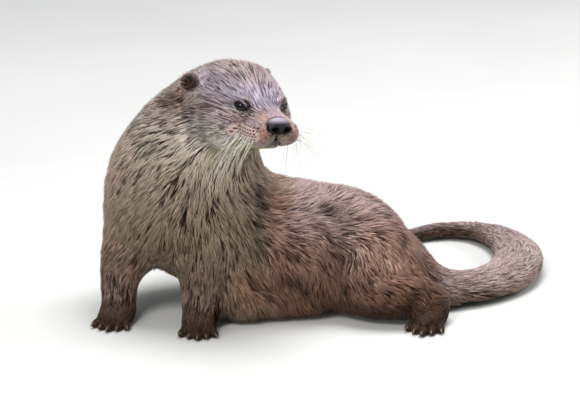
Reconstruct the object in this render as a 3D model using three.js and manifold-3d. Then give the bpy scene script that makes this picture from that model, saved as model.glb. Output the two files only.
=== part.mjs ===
// Eurasian otter, life size, lying on its hind quarters with the chest raised on straight
// forelegs, the head turned to its left and the tail curled round behind.
// Millimetres, +Z up, the floor at z = 0. +X runs from the chest towards the rump.
//
// The whole animal is one smooth signed function (negative inside), blended from swept
// elliptical chains (neck and trunk, tail, limbs) and ellipsoids (head, ears, paws). It is
// the outer face of the coat. Each named length of the body is polygonised from that one
// function at its own fineness and cut off from its neighbours by planes, with a hairline gap.
import * as THREE from "three";
import Module from "manifold-3d";

// ---------------------------------------------------------------- driving dimensions
const GAP = 0.3; // between neighbouring cut pieces
const FLOOR_CUT = 0; // level of the soles, belly and tail flats

// head: nose tip, the way it points (degrees), then sizes in the head's own axes
// (forward, left, up) measured from the nose tip
const NOSE_TIP = [-8.9, -15, 213.6];
const HEAD_YAW = 33,
  HEAD_PITCH = 0.5,
  HEAD_ROLL = -6;
const CRANIUM = { at: [-84, 0, 6], r: [42, 43, 32] };
const BRIDGE = { from: [-62, 0, 8], to: [-14, 0, 2.6], r0: 23, r1: 11.5, widen: 1.3 };
const CHEEK = { at: [-64, 25, -8], r: [33, 23, 26] };
const JAW = { at: [-47, 0, -14.5], r: [34, 23, 14.5] };
const WHISKER_PAD = { at: [-17.5, 14, -7.5], r: [18.5, 15.5, 13.5] };
const CHIN = { at: [-17, 0, -15.5], r: [11, 11, 7] };
const BROW = { at: [-42, 19, 19], r: [13, 9, 5.5] };
const NOSE_PAD = { at: [-5, 0, 1.3], r: [7.5, 13.2, 8.2] };
const NOSTRIL = { at: [0.6, 6.2, -0.6], r: [3, 3.4, 2.2] };
const EYE = { at: [-36, 21.8, 14.4], r: 6.8 };
const EAR = { at: [-93.5, 44, 26.5], disc: [12.5, 11, 5.5], hollowAt: [0.8, -1, 5.5], hollow: [9, 7.6, 5], faces: [0.6, 0.74, 0.3] };

// neck and trunk, head end first: x y z | half width | half height | dorsal direction
const TRUNK = [
  [-54, 61, 219.5, 43, 42, 0.2, 0.5, 0.9],
  [-70, 79, 205, 50, 49, 0.25, 0.8, 0.7],
  [-86, 89, 178, 60, 59, 0.2, 0.9, 0.5],
  [-99, 94, 150, 71, 67, 0.1, 0.9, 0.5],
  [-102, 100, 118, 83, 72, 0, 0.75, 0.7],
  [-80, 110, 90, 80, 70, 0, 0.4, 0.9],
  [-34, 112, 68, 78, 66, 0, 0.1, 1],
  [20, 111, 59, 76, 65, 0, 0, 1],
  [60, 112, 51.5, 72, 61.5, 0, 0, 1],
  [86, 112, 40.5, 63, 42, 0, 0, 1],
  [108, 111, 36, 52, 33.5, 0, 0, 1],
  [130, 110, 20, 41, 15, 0, 0, 1],
  [156, 109, 10, 31, 9, 0, 0, 1],
];
const BREAST = { at: [-104, 60, 104], r: [56, 40, 44] };
const ELBOW_FOLD = { at: [-46, 86, 36], r: [46, 40, 40] };
const ELBOW = { from: [-62, 60, 64], to: [-46, 52, 24], r0: 29, r1: 24 };
const BELLY_ROLL = { from: [-46, 53, 24], to: [16, 60, 21], r0: 23.6, r1: 21 };

// tail, root first: x y z | half width | half height
const TAIL = [
  [120, 110, 24, 40, 24],
  [144, 109, 17, 33, 19],
  [166, 111, 14, 30, 16.5],
  [190, 121, 13.5, 28, 16.5],
  [213, 145, 13.5, 27.5, 17],
  [228, 178, 13.5, 27.5, 16],
  [234, 216, 13, 26.5, 15],
  [231, 254, 12, 24, 13.5],
  [217, 291, 11, 20, 11.5],
  [192, 317, 9.5, 16.5, 9.5],
  [161, 321, 8.5, 13.8, 8.5],
  [132, 308, 7.5, 11.5, 7.6],
  [108, 288, 6.5, 9, 6.6],
  [89, 264, 4.5, 5, 4.8],
];

// limbs, body end first: x y z | radius
const LIMB = {
  fore_right: [[-138, 88, 96, 42], [-160, 72, 62, 27], [-167, 60, 36, 19], [-167, 54, 14, 17]],
  fore_left: [[-72, 78, 92, 42], [-80, 52, 62, 30], [-85, 38, 34, 21.5], [-87, 31, 14, 18]],
  hind_left: [[88, 77, 50, 40], [78, 62, 36, 35], [106, 50, 30, 28], [139, 50, 20, 18]],
  hind_right: [[74, 148, 44, 38], [64, 174, 36, 32], [92, 190, 27, 23], [120, 192, 18, 16]],
};
const LIMB_DORSAL = { fore: [0, -1, 0], hind: [0, 0, 1] };
// paws: heel on the floor, the way the toes point, length, width, height
const PAW = {
  fore_right: { heel: [-166, 58, 0], to: [-0.25, -1, 0], l: 46, w: 44, h: 19 },
  fore_left: { heel: [-87, 34, 0], to: [-0.05, -1, 0], l: 46, w: 44, h: 19 },
  hind_left: { heel: [141, 60, 0], to: [-0.24, -1, 0], l: 62, w: 44, h: 19 },
  hind_right: { heel: [124, 186, 0], to: [0.12, 1, 0], l: 62, w: 44, h: 19 },
};
const TOES = 5;
const CLAW = { root: 1.7, tip: 0.35, length: 7.5, sides: 6 };

// blend widths
const BLEND = { trunkTail: 14, head: 20, breast: 24, elbow: 20, limb: 20, wristPaw: 7, nose: 2.5, ear: 5 };

// ---------------------------------------------------------------- small vector helpers
const dot = (a, b) => a[0] * b[0] + a[1] * b[1] + a[2] * b[2];
const sub = (a, b) => [a[0] - b[0], a[1] - b[1], a[2] - b[2]];
const add = (a, b) => [a[0] + b[0], a[1] + b[1], a[2] + b[2]];
const mul = (a, s) => [a[0] * s, a[1] * s, a[2] * s];
const cross = (a, b) => [a[1] * b[2] - a[2] * b[1], a[2] * b[0] - a[0] * b[2], a[0] * b[1] - a[1] * b[0]];
const len = (a) => Math.hypot(a[0], a[1], a[2]);
const unit = (a) => mul(a, 1 / len(a));
const clamp = (v, a, b) => Math.min(b, Math.max(a, v));
const rad = (d) => (d * Math.PI) / 180;

// ---------------------------------------------------------------- signed functions
const smin = (a, b, k) => {
  const h = Math.max(k - Math.abs(a - b), 0) / k;
  return Math.min(a, b) - h * h * k * 0.25;
};
const smax = (a, b, k) => -smin(-a, -b, k);
const ellipsoid = (x, y, z, c, r) => {
  const a = (x - c[0]) / r[0],
    b = (y - c[1]) / r[1],
    d = (z - c[2]) / r[2];
  const k0 = Math.sqrt(a * a + b * b + d * d);
  if (k0 < 1e-6) return -Math.min(r[0], r[1], r[2]);
  const e = a / r[0],
    f = b / r[1],
    g = d / r[2];
  return (k0 * (k0 - 1)) / Math.sqrt(e * e + f * f + g * g);
};
const roundCone = (x, y, z, a, b, r1, r2, sy) => {
  const ay = a[1] / sy,
    by = b[1] / sy;
  const bx = b[0] - a[0],
    bY = by - ay,
    bz = b[2] - a[2];
  const wx = x - a[0],
    wy = y / sy - ay,
    wz = z - a[2];
  const t = clamp((wx * bx + wy * bY + wz * bz) / (bx * bx + bY * bY + bz * bz), 0, 1);
  return Math.hypot(wx - t * bx, wy - t * bY, wz - t * bz) - (r1 + (r2 - r1) * t);
};

// Hermite curve through rows of station numbers, tangents by finite difference on the chord
function throughStations(rows, fine) {
  const out = [];
  const n = rows.length;
  const chord = (a, b) => Math.max(Math.hypot(b[0] - a[0], b[1] - a[1], b[2] - a[2]), 1e-6);
  for (let i = 0; i < n - 1; i++) {
    const p1 = rows[i],
      p2 = rows[i + 1];
    const p0 = i > 0 ? rows[i - 1] : p1.map((v, k) => 2 * v - p2[k]);
    const p3 = i + 2 < n ? rows[i + 2] : p2.map((v, k) => 2 * v - p1[k]);
    const a = chord(p0, p1),
      b = chord(p1, p2),
      c = chord(p2, p3);
    for (let s = 0; s < fine; s++) {
      const t = s / fine;
      out.push(
        p1.map((_, k) => {
          const m1 = (b * (((p2[k] - p1[k]) / b) * a + ((p1[k] - p0[k]) / a) * b)) / (a + b);
          const m2 = (b * (((p3[k] - p2[k]) / c) * b + ((p2[k] - p1[k]) / b) * c)) / (b + c);
          return (
            (2 * t ** 3 - 3 * t * t + 1) * p1[k] +
            (t ** 3 - 2 * t * t + t) * m1 +
            (-2 * t ** 3 + 3 * t * t) * p2[k] +
            (t ** 3 - t * t) * m2
          );
        }),
      );
    }
  }
  out.push(rows[n - 1].slice());
  return out;
}

// A swept chain of elliptical sections: its signed function and the box it reaches
function chain(rows, fine) {
  const pts = throughStations(rows, fine);
  const segs = [];
  for (let i = 0; i < pts.length - 1; i++) {
    const p = pts[i],
      q = pts[i + 1];
    const d = sub(q, p);
    const L = len(d);
    const T = mul(d, 1 / L);
    let U = [(p[5] + q[5]) / 2, (p[6] + q[6]) / 2, (p[7] + q[7]) / 2];
    U = unit(sub(U, mul(T, dot(U, T))));
    segs.push({ p, L, T, U, S: cross(T, U), a0: p[3], a1: q[3], b0: p[4], b1: q[4] });
  }
  const reach = Math.max(...pts.map((p) => Math.max(p[3], p[4])));
  const lo = [0, 1, 2].map((k) => Math.min(...pts.map((p) => p[k])) - reach);
  const hi = [0, 1, 2].map((k) => Math.max(...pts.map((p) => p[k])) + reach);
  return (x, y, z) => {
    const far = Math.hypot(
      Math.max(lo[0] - x, 0, x - hi[0]),
      Math.max(lo[1] - y, 0, y - hi[1]),
      Math.max(lo[2] - z, 0, z - hi[2]),
    );
    if (far > 45) return far;
    let best = 1e9;
    for (const s of segs) {
      let wx = x - s.p[0],
        wy = y - s.p[1],
        wz = z - s.p[2];
      const t = clamp((wx * s.T[0] + wy * s.T[1] + wz * s.T[2]) / s.L, 0, 1);
      const a = s.a0 + (s.a1 - s.a0) * t,
        b = s.b0 + (s.b1 - s.b0) * t,
        r = Math.min(a, b);
      const m = t * s.L;
      wx -= m * s.T[0];
      wy -= m * s.T[1];
      wz -= m * s.T[2];
      const u = (wx * s.S[0] + wy * s.S[1] + wz * s.S[2]) / a,
        v = (wx * s.U[0] + wy * s.U[1] + wz * s.U[2]) / b,
        w = (wx * s.T[0] + wy * s.T[1] + wz * s.T[2]) / r;
      const k0 = Math.sqrt(u * u + v * v + w * w);
      const k1 = Math.sqrt((u / a) ** 2 + (v / b) ** 2 + (w / r) ** 2) + 1e-9;
      const d = (k0 * (k0 - 1)) / k1;
      if (d < best) best = d;
    }
    return best;
  };
}

// ---------------------------------------------------------------- head
const yaw = rad(HEAD_YAW),
  pitch = rad(HEAD_PITCH),
  roll = rad(HEAD_ROLL);
const headForward = [Math.sin(yaw) * Math.cos(pitch), -Math.cos(yaw) * Math.cos(pitch), Math.sin(pitch)];
const flatLeft = unit(cross([0, 0, 1], headForward));
const flatUp = cross(headForward, flatLeft);
const headLeft = add(mul(flatLeft, Math.cos(roll)), mul(flatUp, Math.sin(roll)));
const headUp = sub(mul(flatUp, Math.cos(roll)), mul(flatLeft, Math.sin(roll)));
const inHead = (x, y, z) => {
  const w = [x - NOSE_TIP[0], y - NOSE_TIP[1], z - NOSE_TIP[2]];
  return [dot(w, headForward), dot(w, headLeft), dot(w, headUp)];
};
const fromHead = (q) =>
  add(NOSE_TIP, add(mul(headForward, q[0]), add(mul(headLeft, q[1]), mul(headUp, q[2]))));

function skull(x, y, z) {
  const [f, l, u] = inHead(x, y, z);
  const m = Math.abs(l);
  let d = ellipsoid(f, l, u, CRANIUM.at, CRANIUM.r);
  d = smin(d, roundCone(f, l, u, BRIDGE.from, BRIDGE.to, BRIDGE.r0, BRIDGE.r1, BRIDGE.widen), 18);
  d = smin(d, ellipsoid(f, m, u, CHEEK.at, CHEEK.r), 16);
  d = smin(d, ellipsoid(f, l, u, JAW.at, JAW.r), 14);
  d = smin(d, ellipsoid(f, m, u, WHISKER_PAD.at, WHISKER_PAD.r), 8);
  d = smin(d, ellipsoid(f, l, u, CHIN.at, CHIN.r), 6);
  d = smin(d, ellipsoid(f, m, u, BROW.at, BROW.r), 12);
  return d;
}
const earN = unit(EAR.faces);
const earT = unit(cross([0, 0, 1], earN));
const earB = cross(earN, earT);
function ear(x, y, z, side) {
  const q = inHead(x, y, z);
  const w = [q[0] - EAR.at[0], q[1] * side - EAR.at[1], q[2] - EAR.at[2]];
  const a = dot(w, earT),
    b = dot(w, earB),
    c = dot(w, earN);
  return smax(ellipsoid(a, b, c, [0, 0, 0], EAR.disc), -ellipsoid(a, b, c, EAR.hollowAt, EAR.hollow), 2);
}

// ---------------------------------------------------------------- limbs and paws
const limbChain = {};
for (const [name, rows] of Object.entries(LIMB)) {
  const up = LIMB_DORSAL[name.split("_")[0]];
  limbChain[name] = chain(rows.map((r) => [r[0], r[1], r[2], r[3], r[3], ...up]), 3);
}
const pawAxes = (p) => {
  const f = unit(p.to);
  return { f, s: [f[1], -f[0], 0] };
};
// root, tip and radii of one toe in the paw's own axes (forward, side, up)
const toe = (p, i) => {
  const k = i - (TOES - 1) / 2;
  const side = (k / (TOES - 1)) * p.w * 0.74;
  const reach = p.l * (1 - (0.1 * Math.abs(k) ** 1.2) / 1.2) - p.w * 0.09;
  return { a: [p.l * 0.42, side * 0.62, p.h * 0.4], b: [reach, side, p.w * 0.095 - 0.4], r0: p.w * 0.12, r1: p.w * 0.095 };
};
const toesOf = {};
for (const [name, p] of Object.entries(PAW)) toesOf[name] = Array.from({ length: TOES }, (_, i) => toe(p, i));
function paw(x, y, z, name) {
  const p = PAW[name],
    { f, s } = pawAxes(p);
  const w = [x - p.heel[0], y - p.heel[1], z];
  const a = dot(w, f),
    b = dot(w, s);
  if (Math.abs(a) > 130 || Math.abs(b) > 90 || z > 90) return 60;
  let d = ellipsoid(a, b, z, [p.l * 0.34, 0, p.h * 0.42], [p.l * 0.46, p.w * 0.4, p.h * 0.72]);
  for (const t of toesOf[name]) d = smin(d, roundCone(a, b, z, t.a, t.b, t.r0, t.r1, 1), 3);
  return d;
}

// ---------------------------------------------------------------- the whole coat
const trunkChain = chain(TRUNK, 5);
const tailChain = chain(TAIL.map((r) => [...r, 0, 0, 1]), 4);
function coat(x, y, z) {
  let d = smin(trunkChain(x, y, z), tailChain(x, y, z), BLEND.trunkTail);
  d = smin(d, skull(x, y, z), BLEND.head);
  d = smin(d, ellipsoid(x, y, z, BREAST.at, BREAST.r), BLEND.breast);
  d = smin(d, ellipsoid(x, y, z, ELBOW_FOLD.at, ELBOW_FOLD.r), BLEND.elbow);
  d = smin(d, roundCone(x, y, z, ELBOW.from, ELBOW.to, ELBOW.r0, ELBOW.r1, 1), 12);
  d = smin(d, roundCone(x, y, z, BELLY_ROLL.from, BELLY_ROLL.to, BELLY_ROLL.r0, BELLY_ROLL.r1, 1), 14);
  for (const name of Object.keys(LIMB))
    d = smin(d, smin(limbChain[name](x, y, z), paw(x, y, z, name), BLEND.wristPaw), BLEND.limb);
  for (const side of [1, -1]) d = smin(d, ear(x, y, z, side), BLEND.ear);
  return d;
}
const slope = (fn, x, y, z, e = 0.25) => [
  (fn(x + e, y, z) - fn(x - e, y, z)) / (2 * e),
  (fn(x, y + e, z) - fn(x, y - e, z)) / (2 * e),
  (fn(x, y, z + e) - fn(x, y, z - e)) / (2 * e),
];

// ---------------------------------------------------------------- polygonising
// Dual surface of a sampled grid: one vertex for each sheet of surface in a cell.
const EDGES = [];
for (let a = 0; a < 8; a++) for (let ax = 0; ax < 3; ax++) if (!(a & (1 << ax))) EDGES.push([a, a | (1 << ax), ax]);
const edgeOf = (a, b) => EDGES.findIndex((e) => e[0] === Math.min(a, b) && e[1] === Math.max(a, b));
const CELL_FACES = [];
for (let ax = 0; ax < 3; ax++) {
  const o = [0, 1, 2].filter((k) => k !== ax);
  for (const s of [0, 1]) {
    const base = s << ax;
    CELL_FACES.push([base, base | (1 << o[0]), base | (1 << o[0]) | (1 << o[1]), base | (1 << o[1])]);
  }
}
const SHEETS = [];
for (let m = 0; m < 256; m++) {
  const inside = (i) => (m >> i) & 1;
  const parent = EDGES.map((_, i) => i);
  const find = (i) => (parent[i] === i ? i : find(parent[i]));
  for (const c of CELL_FACES) {
    const es = c.map((v, i) => edgeOf(v, c[(i + 1) % 4]));
    const crossed = es.filter((e) => inside(EDGES[e][0]) !== inside(EDGES[e][1]));
    if (crossed.length === 2) parent[find(crossed[0])] = find(crossed[1]);
    else if (crossed.length === 4)
      for (let i = 0; i < 4; i++) if (inside(c[i])) parent[find(es[(i + 3) % 4])] = find(es[i]);
  }
  const roots = new Map();
  const sheet = EDGES.map((e, i) => {
    if (inside(e[0]) === inside(e[1])) return -1;
    const r = find(i);
    if (!roots.has(r)) roots.set(r, roots.size);
    return roots.get(r);
  });
  SHEETS.push({ sheet, count: roots.size });
}

function polygonise(fn, lo, hi, h) {
  const n = [0, 1, 2].map((k) => Math.ceil((hi[k] - lo[k]) / h) + 2);
  const o = lo.map((v) => v - h * 0.5);
  const sx = (n[1] + 1) * (n[2] + 1),
    sy = n[2] + 1;
  const F = new Float64Array((n[0] + 1) * sx);
  for (let i = 0; i <= n[0]; i++)
    for (let j = 0; j <= n[1]; j++)
      for (let k = 0; k <= n[2]; k++) {
        const rim = i === 0 || j === 0 || k === 0 || i === n[0] || j === n[1] || k === n[2];
        F[i * sx + j * sy + k] = rim ? 10 : fn(o[0] + i * h, o[1] + j * h, o[2] + k * h);
      }
  const V = [],
    T = [];
  const first = new Map();
  const corner = (b) => (b & 1) * sx + ((b >> 1) & 1) * sy + ((b >> 2) & 1);
  const maskAt = (c) => {
    let m = 0;
    for (let b = 0; b < 8; b++) if (F[c + corner(b)] < 0) m |= 1 << b;
    return m;
  };
  for (let i = 0; i < n[0]; i++)
    for (let j = 0; j < n[1]; j++)
      for (let k = 0; k < n[2]; k++) {
        const c = i * sx + j * sy + k;
        const m = maskAt(c);
        if (m === 0 || m === 255) continue;
        first.set(c, V.length);
        const { sheet, count } = SHEETS[m];
        for (let s = 0; s < count; s++) {
          let p = [0, 0, 0],
            w = 0;
          EDGES.forEach(([a, b, ax], e) => {
            if (sheet[e] !== s) return;
            const fa = F[c + corner(a)],
              fb = F[c + corner(b)];
            const t = clamp(fa / (fa - fb), 0.02, 0.98);
            const q = [i + (a & 1), j + ((a >> 1) & 1), k + ((a >> 2) & 1)];
            q[ax] += t;
            p = add(p, q);
            w++;
          });
          V.push([o[0] + (p[0] / w) * h, o[1] + (p[1] / w) * h, o[2] + (p[2] / w) * h]);
        }
      }
  const step = [sx, sy, 1];
  for (let ax = 0; ax < 3; ax++) {
    const o1 = (ax + 1) % 3,
      o2 = (ax + 2) % 3;
    for (let i = ax === 0 ? 0 : 1; i < n[0]; i++)
      for (let j = ax === 1 ? 0 : 1; j < n[1]; j++)
        for (let k = ax === 2 ? 0 : 1; k < n[2]; k++) {
          const c = i * sx + j * sy + k;
          const a = F[c] < 0,
            b = F[c + step[ax]] < 0;
          if (a === b) continue;
          const quad = [[0, 0], [1, 0], [1, 1], [0, 1]].map(([p, q]) => {
            const cell = c - p * step[o1] - q * step[o2];
            const cb = (p << o1) | (q << o2);
            const e = edgeOf(cb, cb | (1 << ax));
            return first.get(cell) + SHEETS[maskAt(cell)].sheet[e];
          });
          if (!a) quad.reverse();
          T.push([quad[0], quad[1], quad[2]], [quad[0], quad[2], quad[3]]);
        }
  }
  return { V, T };
}
// slide every vertex onto the zero of the function
function settle(V, fn, h, rounds) {
  for (let r = 0; r < rounds; r++)
    for (const v of V) {
      const d = fn(v[0], v[1], v[2]);
      const g = slope(fn, v[0], v[1], v[2]);
      const s = -d / (dot(g, g) + 1e-6);
      const m = mul(g, s),
        L = len(m);
      const k = Math.min(1, (0.6 * h) / Math.max(L, 1e-9));
      v[0] += m[0] * k;
      v[1] += m[1] * k;
      v[2] += m[2] * k;
    }
}

// Merges edges where the surface is nearly flat until the wanted number of triangles is left.
function thin(mesh, wanted) {
  const V = mesh.V,
    T = mesh.T.map((t) => t.slice());
  const Q = V.map(() => new Float64Array(10));
  const around = V.map(() => new Set());
  const normal = (a, b, c) => cross(sub(V[b], V[a]), sub(V[c], V[a]));
  T.forEach((t, i) => {
    const nrm = normal(...t);
    const A = len(nrm) || 1e-12;
    const n = mul(nrm, 1 / A),
      d = -dot(n, V[t[0]]);
    const q = [n[0] * n[0], n[0] * n[1], n[0] * n[2], n[0] * d, n[1] * n[1], n[1] * n[2], n[1] * d, n[2] * n[2], n[2] * d, d * d];
    for (const v of t) {
      for (let k = 0; k < 10; k++) Q[v][k] += q[k] * A;
      around[v].add(i);
    }
  });
  const alive = T.map(() => true);
  let left = T.length;
  const stamp = V.map(() => 0);
  const cost = (q, p) =>
    q[0] * p[0] * p[0] + 2 * q[1] * p[0] * p[1] + 2 * q[2] * p[0] * p[2] + 2 * q[3] * p[0] +
    q[4] * p[1] * p[1] + 2 * q[5] * p[1] * p[2] + 2 * q[6] * p[1] + q[7] * p[2] * p[2] + 2 * q[8] * p[2] + q[9];
  const heap = [];
  const push = (e) => {
    let i = heap.push(e) - 1;
    while (i > 0) {
      const p = (i - 1) >> 1;
      if (heap[p].c <= heap[i].c) break;
      [heap[p], heap[i]] = [heap[i], heap[p]];
      i = p;
    }
  };
  const pop = () => {
    const top = heap[0],
      last = heap.pop();
    if (heap.length) {
      heap[0] = last;
      let i = 0;
      for (;;) {
        let s = i;
        for (const k of [2 * i + 1, 2 * i + 2]) if (k < heap.length && heap[k].c < heap[s].c) s = k;
        if (s === i) break;
        [heap[s], heap[i]] = [heap[i], heap[s]];
        i = s;
      }
    }
    return top;
  };
  const offer = (a, b) => {
    const q = Q[a].map((v, k) => v + Q[b][k]);
    const mid = mul(add(V[a], V[b]), 0.5);
    let p = mid;
    const M = [q[0], q[1], q[2], q[1], q[4], q[5], q[2], q[5], q[7]];
    const det = M[0] * (M[4] * M[8] - M[5] * M[7]) - M[1] * (M[3] * M[8] - M[5] * M[6]) + M[2] * (M[3] * M[7] - M[4] * M[6]);
    const scale = M[0] + M[4] + M[8];
    if (Math.abs(det) > 1e-3 * scale ** 3) {
      const r = [-q[3], -q[6], -q[8]];
      const x = (r[0] * (M[4] * M[8] - M[5] * M[7]) - M[1] * (r[1] * M[8] - M[5] * r[2]) + M[2] * (r[1] * M[7] - M[4] * r[2])) / det;
      const y = (M[0] * (r[1] * M[8] - M[5] * r[2]) - r[0] * (M[3] * M[8] - M[5] * M[6]) + M[2] * (M[3] * r[2] - r[1] * M[6])) / det;
      const z = (M[0] * (M[4] * r[2] - r[1] * M[7]) - M[1] * (M[3] * r[2] - r[1] * M[6]) + r[0] * (M[3] * M[7] - M[4] * M[6])) / det;
      const s = [x, y, z];
      if (len(sub(s, mid)) < len(sub(V[a], V[b]))) p = s;
    }
    const L = len(sub(V[a], V[b]));
    push({ c: Math.max(cost(q, p), 0) + 1e-3 * L ** 4 * 0.002, a, b, p, sa: stamp[a], sb: stamp[b] });
  };
  const ring = (v) => {
    const s = new Set();
    for (const t of around[v]) for (const w of T[t]) if (w !== v) s.add(w);
    return s;
  };
  const seen = new Set();
  for (const t of T)
    for (let k = 0; k < 3; k++) {
      const a = Math.min(t[k], t[(k + 1) % 3]),
        b = Math.max(t[k], t[(k + 1) % 3]);
      const key = a * 1e6 + b;
      if (!seen.has(key)) {
        seen.add(key);
        offer(a, b);
      }
    }
  while (left > wanted && heap.length) {
    const e = pop();
    const { a, b, p } = e;
    if (e.sa !== stamp[a] || e.sb !== stamp[b] || !around[a].size || !around[b].size) continue;
    const ra = ring(a),
      rb = ring(b);
    if (!ra.has(b)) continue;
    let shared = 0;
    for (const v of ra) if (rb.has(v)) shared++;
    if (shared !== 2) continue;
    let bad = false;
    for (const [v, w] of [[a, b], [b, a]])
      for (const t of around[v]) {
        if (T[t].includes(w)) continue;
        const before = normal(...T[t]);
        const pts = T[t].map((i) => (i === v ? p : V[i]));
        const after = cross(sub(pts[1], pts[0]), sub(pts[2], pts[0]));
        const la = len(after),
          lb = len(before);
        const longest = Math.max(len(sub(pts[1], pts[0])), len(sub(pts[2], pts[1])), len(sub(pts[0], pts[2])));
        if (la < 1e-9 || dot(before, after) < 0.55 * la * lb || la < 0.12 * longest * longest) {
          bad = true;
          break;
        }
      }
    if (bad) continue;
    for (const t of [...around[b]]) {
      if (T[t].includes(a)) {
        alive[t] = false;
        left--;
        for (const w of T[t]) around[w].delete(t);
      } else {
        T[t] = T[t].map((i) => (i === b ? a : i));
        around[b].delete(t);
        around[a].add(t);
      }
    }
    V[a] = p;
    for (let k = 0; k < 10; k++) Q[a][k] += Q[b][k];
    stamp[a]++;
    stamp[b]++;
    for (const v of ring(a)) offer(Math.min(a, v), Math.max(a, v));
  }
  const used = new Map(),
    V2 = [],
    T2 = [];
  T.forEach((t, i) => {
    if (!alive[i]) return;
    T2.push(
      t.map((v) => {
        if (!used.has(v)) {
          used.set(v, V2.length);
          V2.push(V[v]);
        }
        return used.get(v);
      }),
    );
  });
  return { V: V2, T: T2 };
}

// ---------------------------------------------------------------- joining and cutting
const wasm = await Module();
wasm.setup();
function solidFrom(V, T) {
  const verts = new Float32Array(V.length * 3);
  V.forEach((v, i) => verts.set(v, i * 3));
  const tris = new Uint32Array(T.length * 3);
  T.forEach((t, i) => tris.set(t, i * 3));
  const mesh = new wasm.Mesh({ numProp: 3, vertProperties: verts, triVerts: tris });
  mesh.merge();
  return new wasm.Manifold(mesh);
}
function solidOfGeometry(g) {
  const V = [],
    T = [],
    key = new Map();
  const pos = g.getAttribute("position");
  const at = (i) => {
    const v = [pos.getX(i), pos.getY(i), pos.getZ(i)];
    const k = v.map((c) => Math.round(c * 1e4)).join();
    if (!key.has(k)) {
      key.set(k, V.length);
      V.push(v);
    }
    return key.get(k);
  };
  const idx = g.index ? g.index.array : Array.from({ length: pos.count }, (_, i) => i);
  for (let i = 0; i < idx.length; i += 3) {
    const t = [at(idx[i]), at(idx[i + 1]), at(idx[i + 2])];
    if (new Set(t).size === 3) T.push(t);
  }
  return solidFrom(V, T);
}
// A cutting block given by its limits in some axes (the floor's or the head's)
function block(limits, axes) {
  const [x0, x1, y0, y1, z0, z1] = limits;
  const g = new THREE.BoxGeometry(x1 - x0, y1 - y0, z1 - z0);
  g.translate((x0 + x1) / 2, (y0 + y1) / 2, (z0 + z1) / 2);
  if (axes) {
    const m = new THREE.Matrix4().makeBasis(
      new THREE.Vector3(...axes.f),
      new THREE.Vector3(...axes.l),
      new THREE.Vector3(...axes.u),
    );
    m.setPosition(...axes.at);
    g.applyMatrix4(m);
  }
  return solidOfGeometry(g);
}
const HEAD_AXES = { f: headForward, l: headLeft, u: headUp, at: NOSE_TIP };
const FAR = 600;
// plane-backed axes: f is the plane's normal, the block lies on its positive side
const planeAxes = (at, normal) => {
  const f = unit(normal);
  const l = unit(cross([0, 0, 1], f));
  return { f, l, u: cross(f, l), at };
};
const NECK_CUT = planeAxes(fromHead([-98, 0, 0]), add(mul(headForward, 0.94), mul(headUp, 0.34)));
const CHEST_TOP = planeAxes([-84, 85, 158], [0.12, -0.28, 0.95]);
const CHEST_BACK = planeAxes([-38, 112, 75], [0.92, 0, -0.39]);

// Regions in the order they are taken: limits within axes, fineness of the polygons,
// triangles kept. What one region takes, the later ones leave.
const REGIONS = [
  { name: "ear_left", box: [-109, -79, 37.5, 64, 12, 50], axes: HEAD_AXES, h: 2.2, keep: 380 },
  { name: "ear_right", box: [-109, -79, -64, -37.5, 12, 50], axes: HEAD_AXES, h: 2.2, keep: 380 },
  { name: "head", box: [0, FAR, -FAR, FAR, -FAR, FAR], axes: NECK_CUT, within: [-140, 50, -60, 130, 168, 290], h: 4, keep: 1360 },
  { name: "neck", box: [0, FAR, -FAR, FAR, -FAR, FAR], axes: CHEST_TOP, within: [-210, 50, -20, 200, 125, 290], h: 7, keep: 560 },
  { name: "tail_tip", box: [60, 150, 252, 360, -20, 60], h: 5, keep: 230 },
  { name: "tail_end", box: [150, 300, 252, 360, -20, 60], h: 6, keep: 260 },
  { name: "tail_middle", box: [186, 300, 80, 252, -20, 80], h: 7, keep: 300 },
  { name: "tail_base", box: [148, 186, 72, 180, -20, 80], h: 7, keep: 220 },
  { name: "forepaw_right", box: [-215, -118, -20, 104, -20, 22], h: 3.4, keep: 490 },
  { name: "forepaw_left", box: [-118, -57, -40, 70, -20, 22], h: 3.4, keep: 490 },
  { name: "foreleg_right", box: [-215, -118, -20, 104, 22, 72], h: 6, keep: 300 },
  { name: "foreleg_left", box: [-118, -57, -40, 70, 22, 72], h: 6, keep: 300 },
  { name: "hindfoot_left", box: [103, 186, -40, 72, -20, 17], h: 3.4, keep: 490 },
  { name: "hindfoot_right", box: [98, 160, 168, 262, -20, 17], h: 3.4, keep: 490 },
  { name: "thigh_left", box: [50, 186, -40, 80, -20, 140], h: 7, keep: 480 },
  { name: "thigh_right", box: [34, 147, 158, 262, -20, 140], h: 7, keep: 420 },
  { name: "chest", box: [-FAR, 0, -FAR, FAR, -FAR, FAR], axes: CHEST_BACK, within: [-215, 20, -20, 210, -20, 190], h: 8, keep: 780 },
  { name: "abdomen", box: [-FAR, 50, -FAR, FAR, -FAR, FAR], within: [-110, 60, 10, 210, -20, 160], h: 8, keep: 700 },
  { name: "rump", box: [50, 148, -FAR, FAR, -FAR, FAR], within: [40, 158, 30, 210, -20, 160], h: 8, keep: 500 },
];
const widened = ([a, b, c, d, e, f], by) => [a - by, b + by, c - by, d + by, e - by, f + by];
const regionBlock = (r, by) => {
  const b = block(widened(r.box, by), r.axes);
  return r.within ? b.intersect(block(widened(r.within, by))) : b;
};

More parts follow.
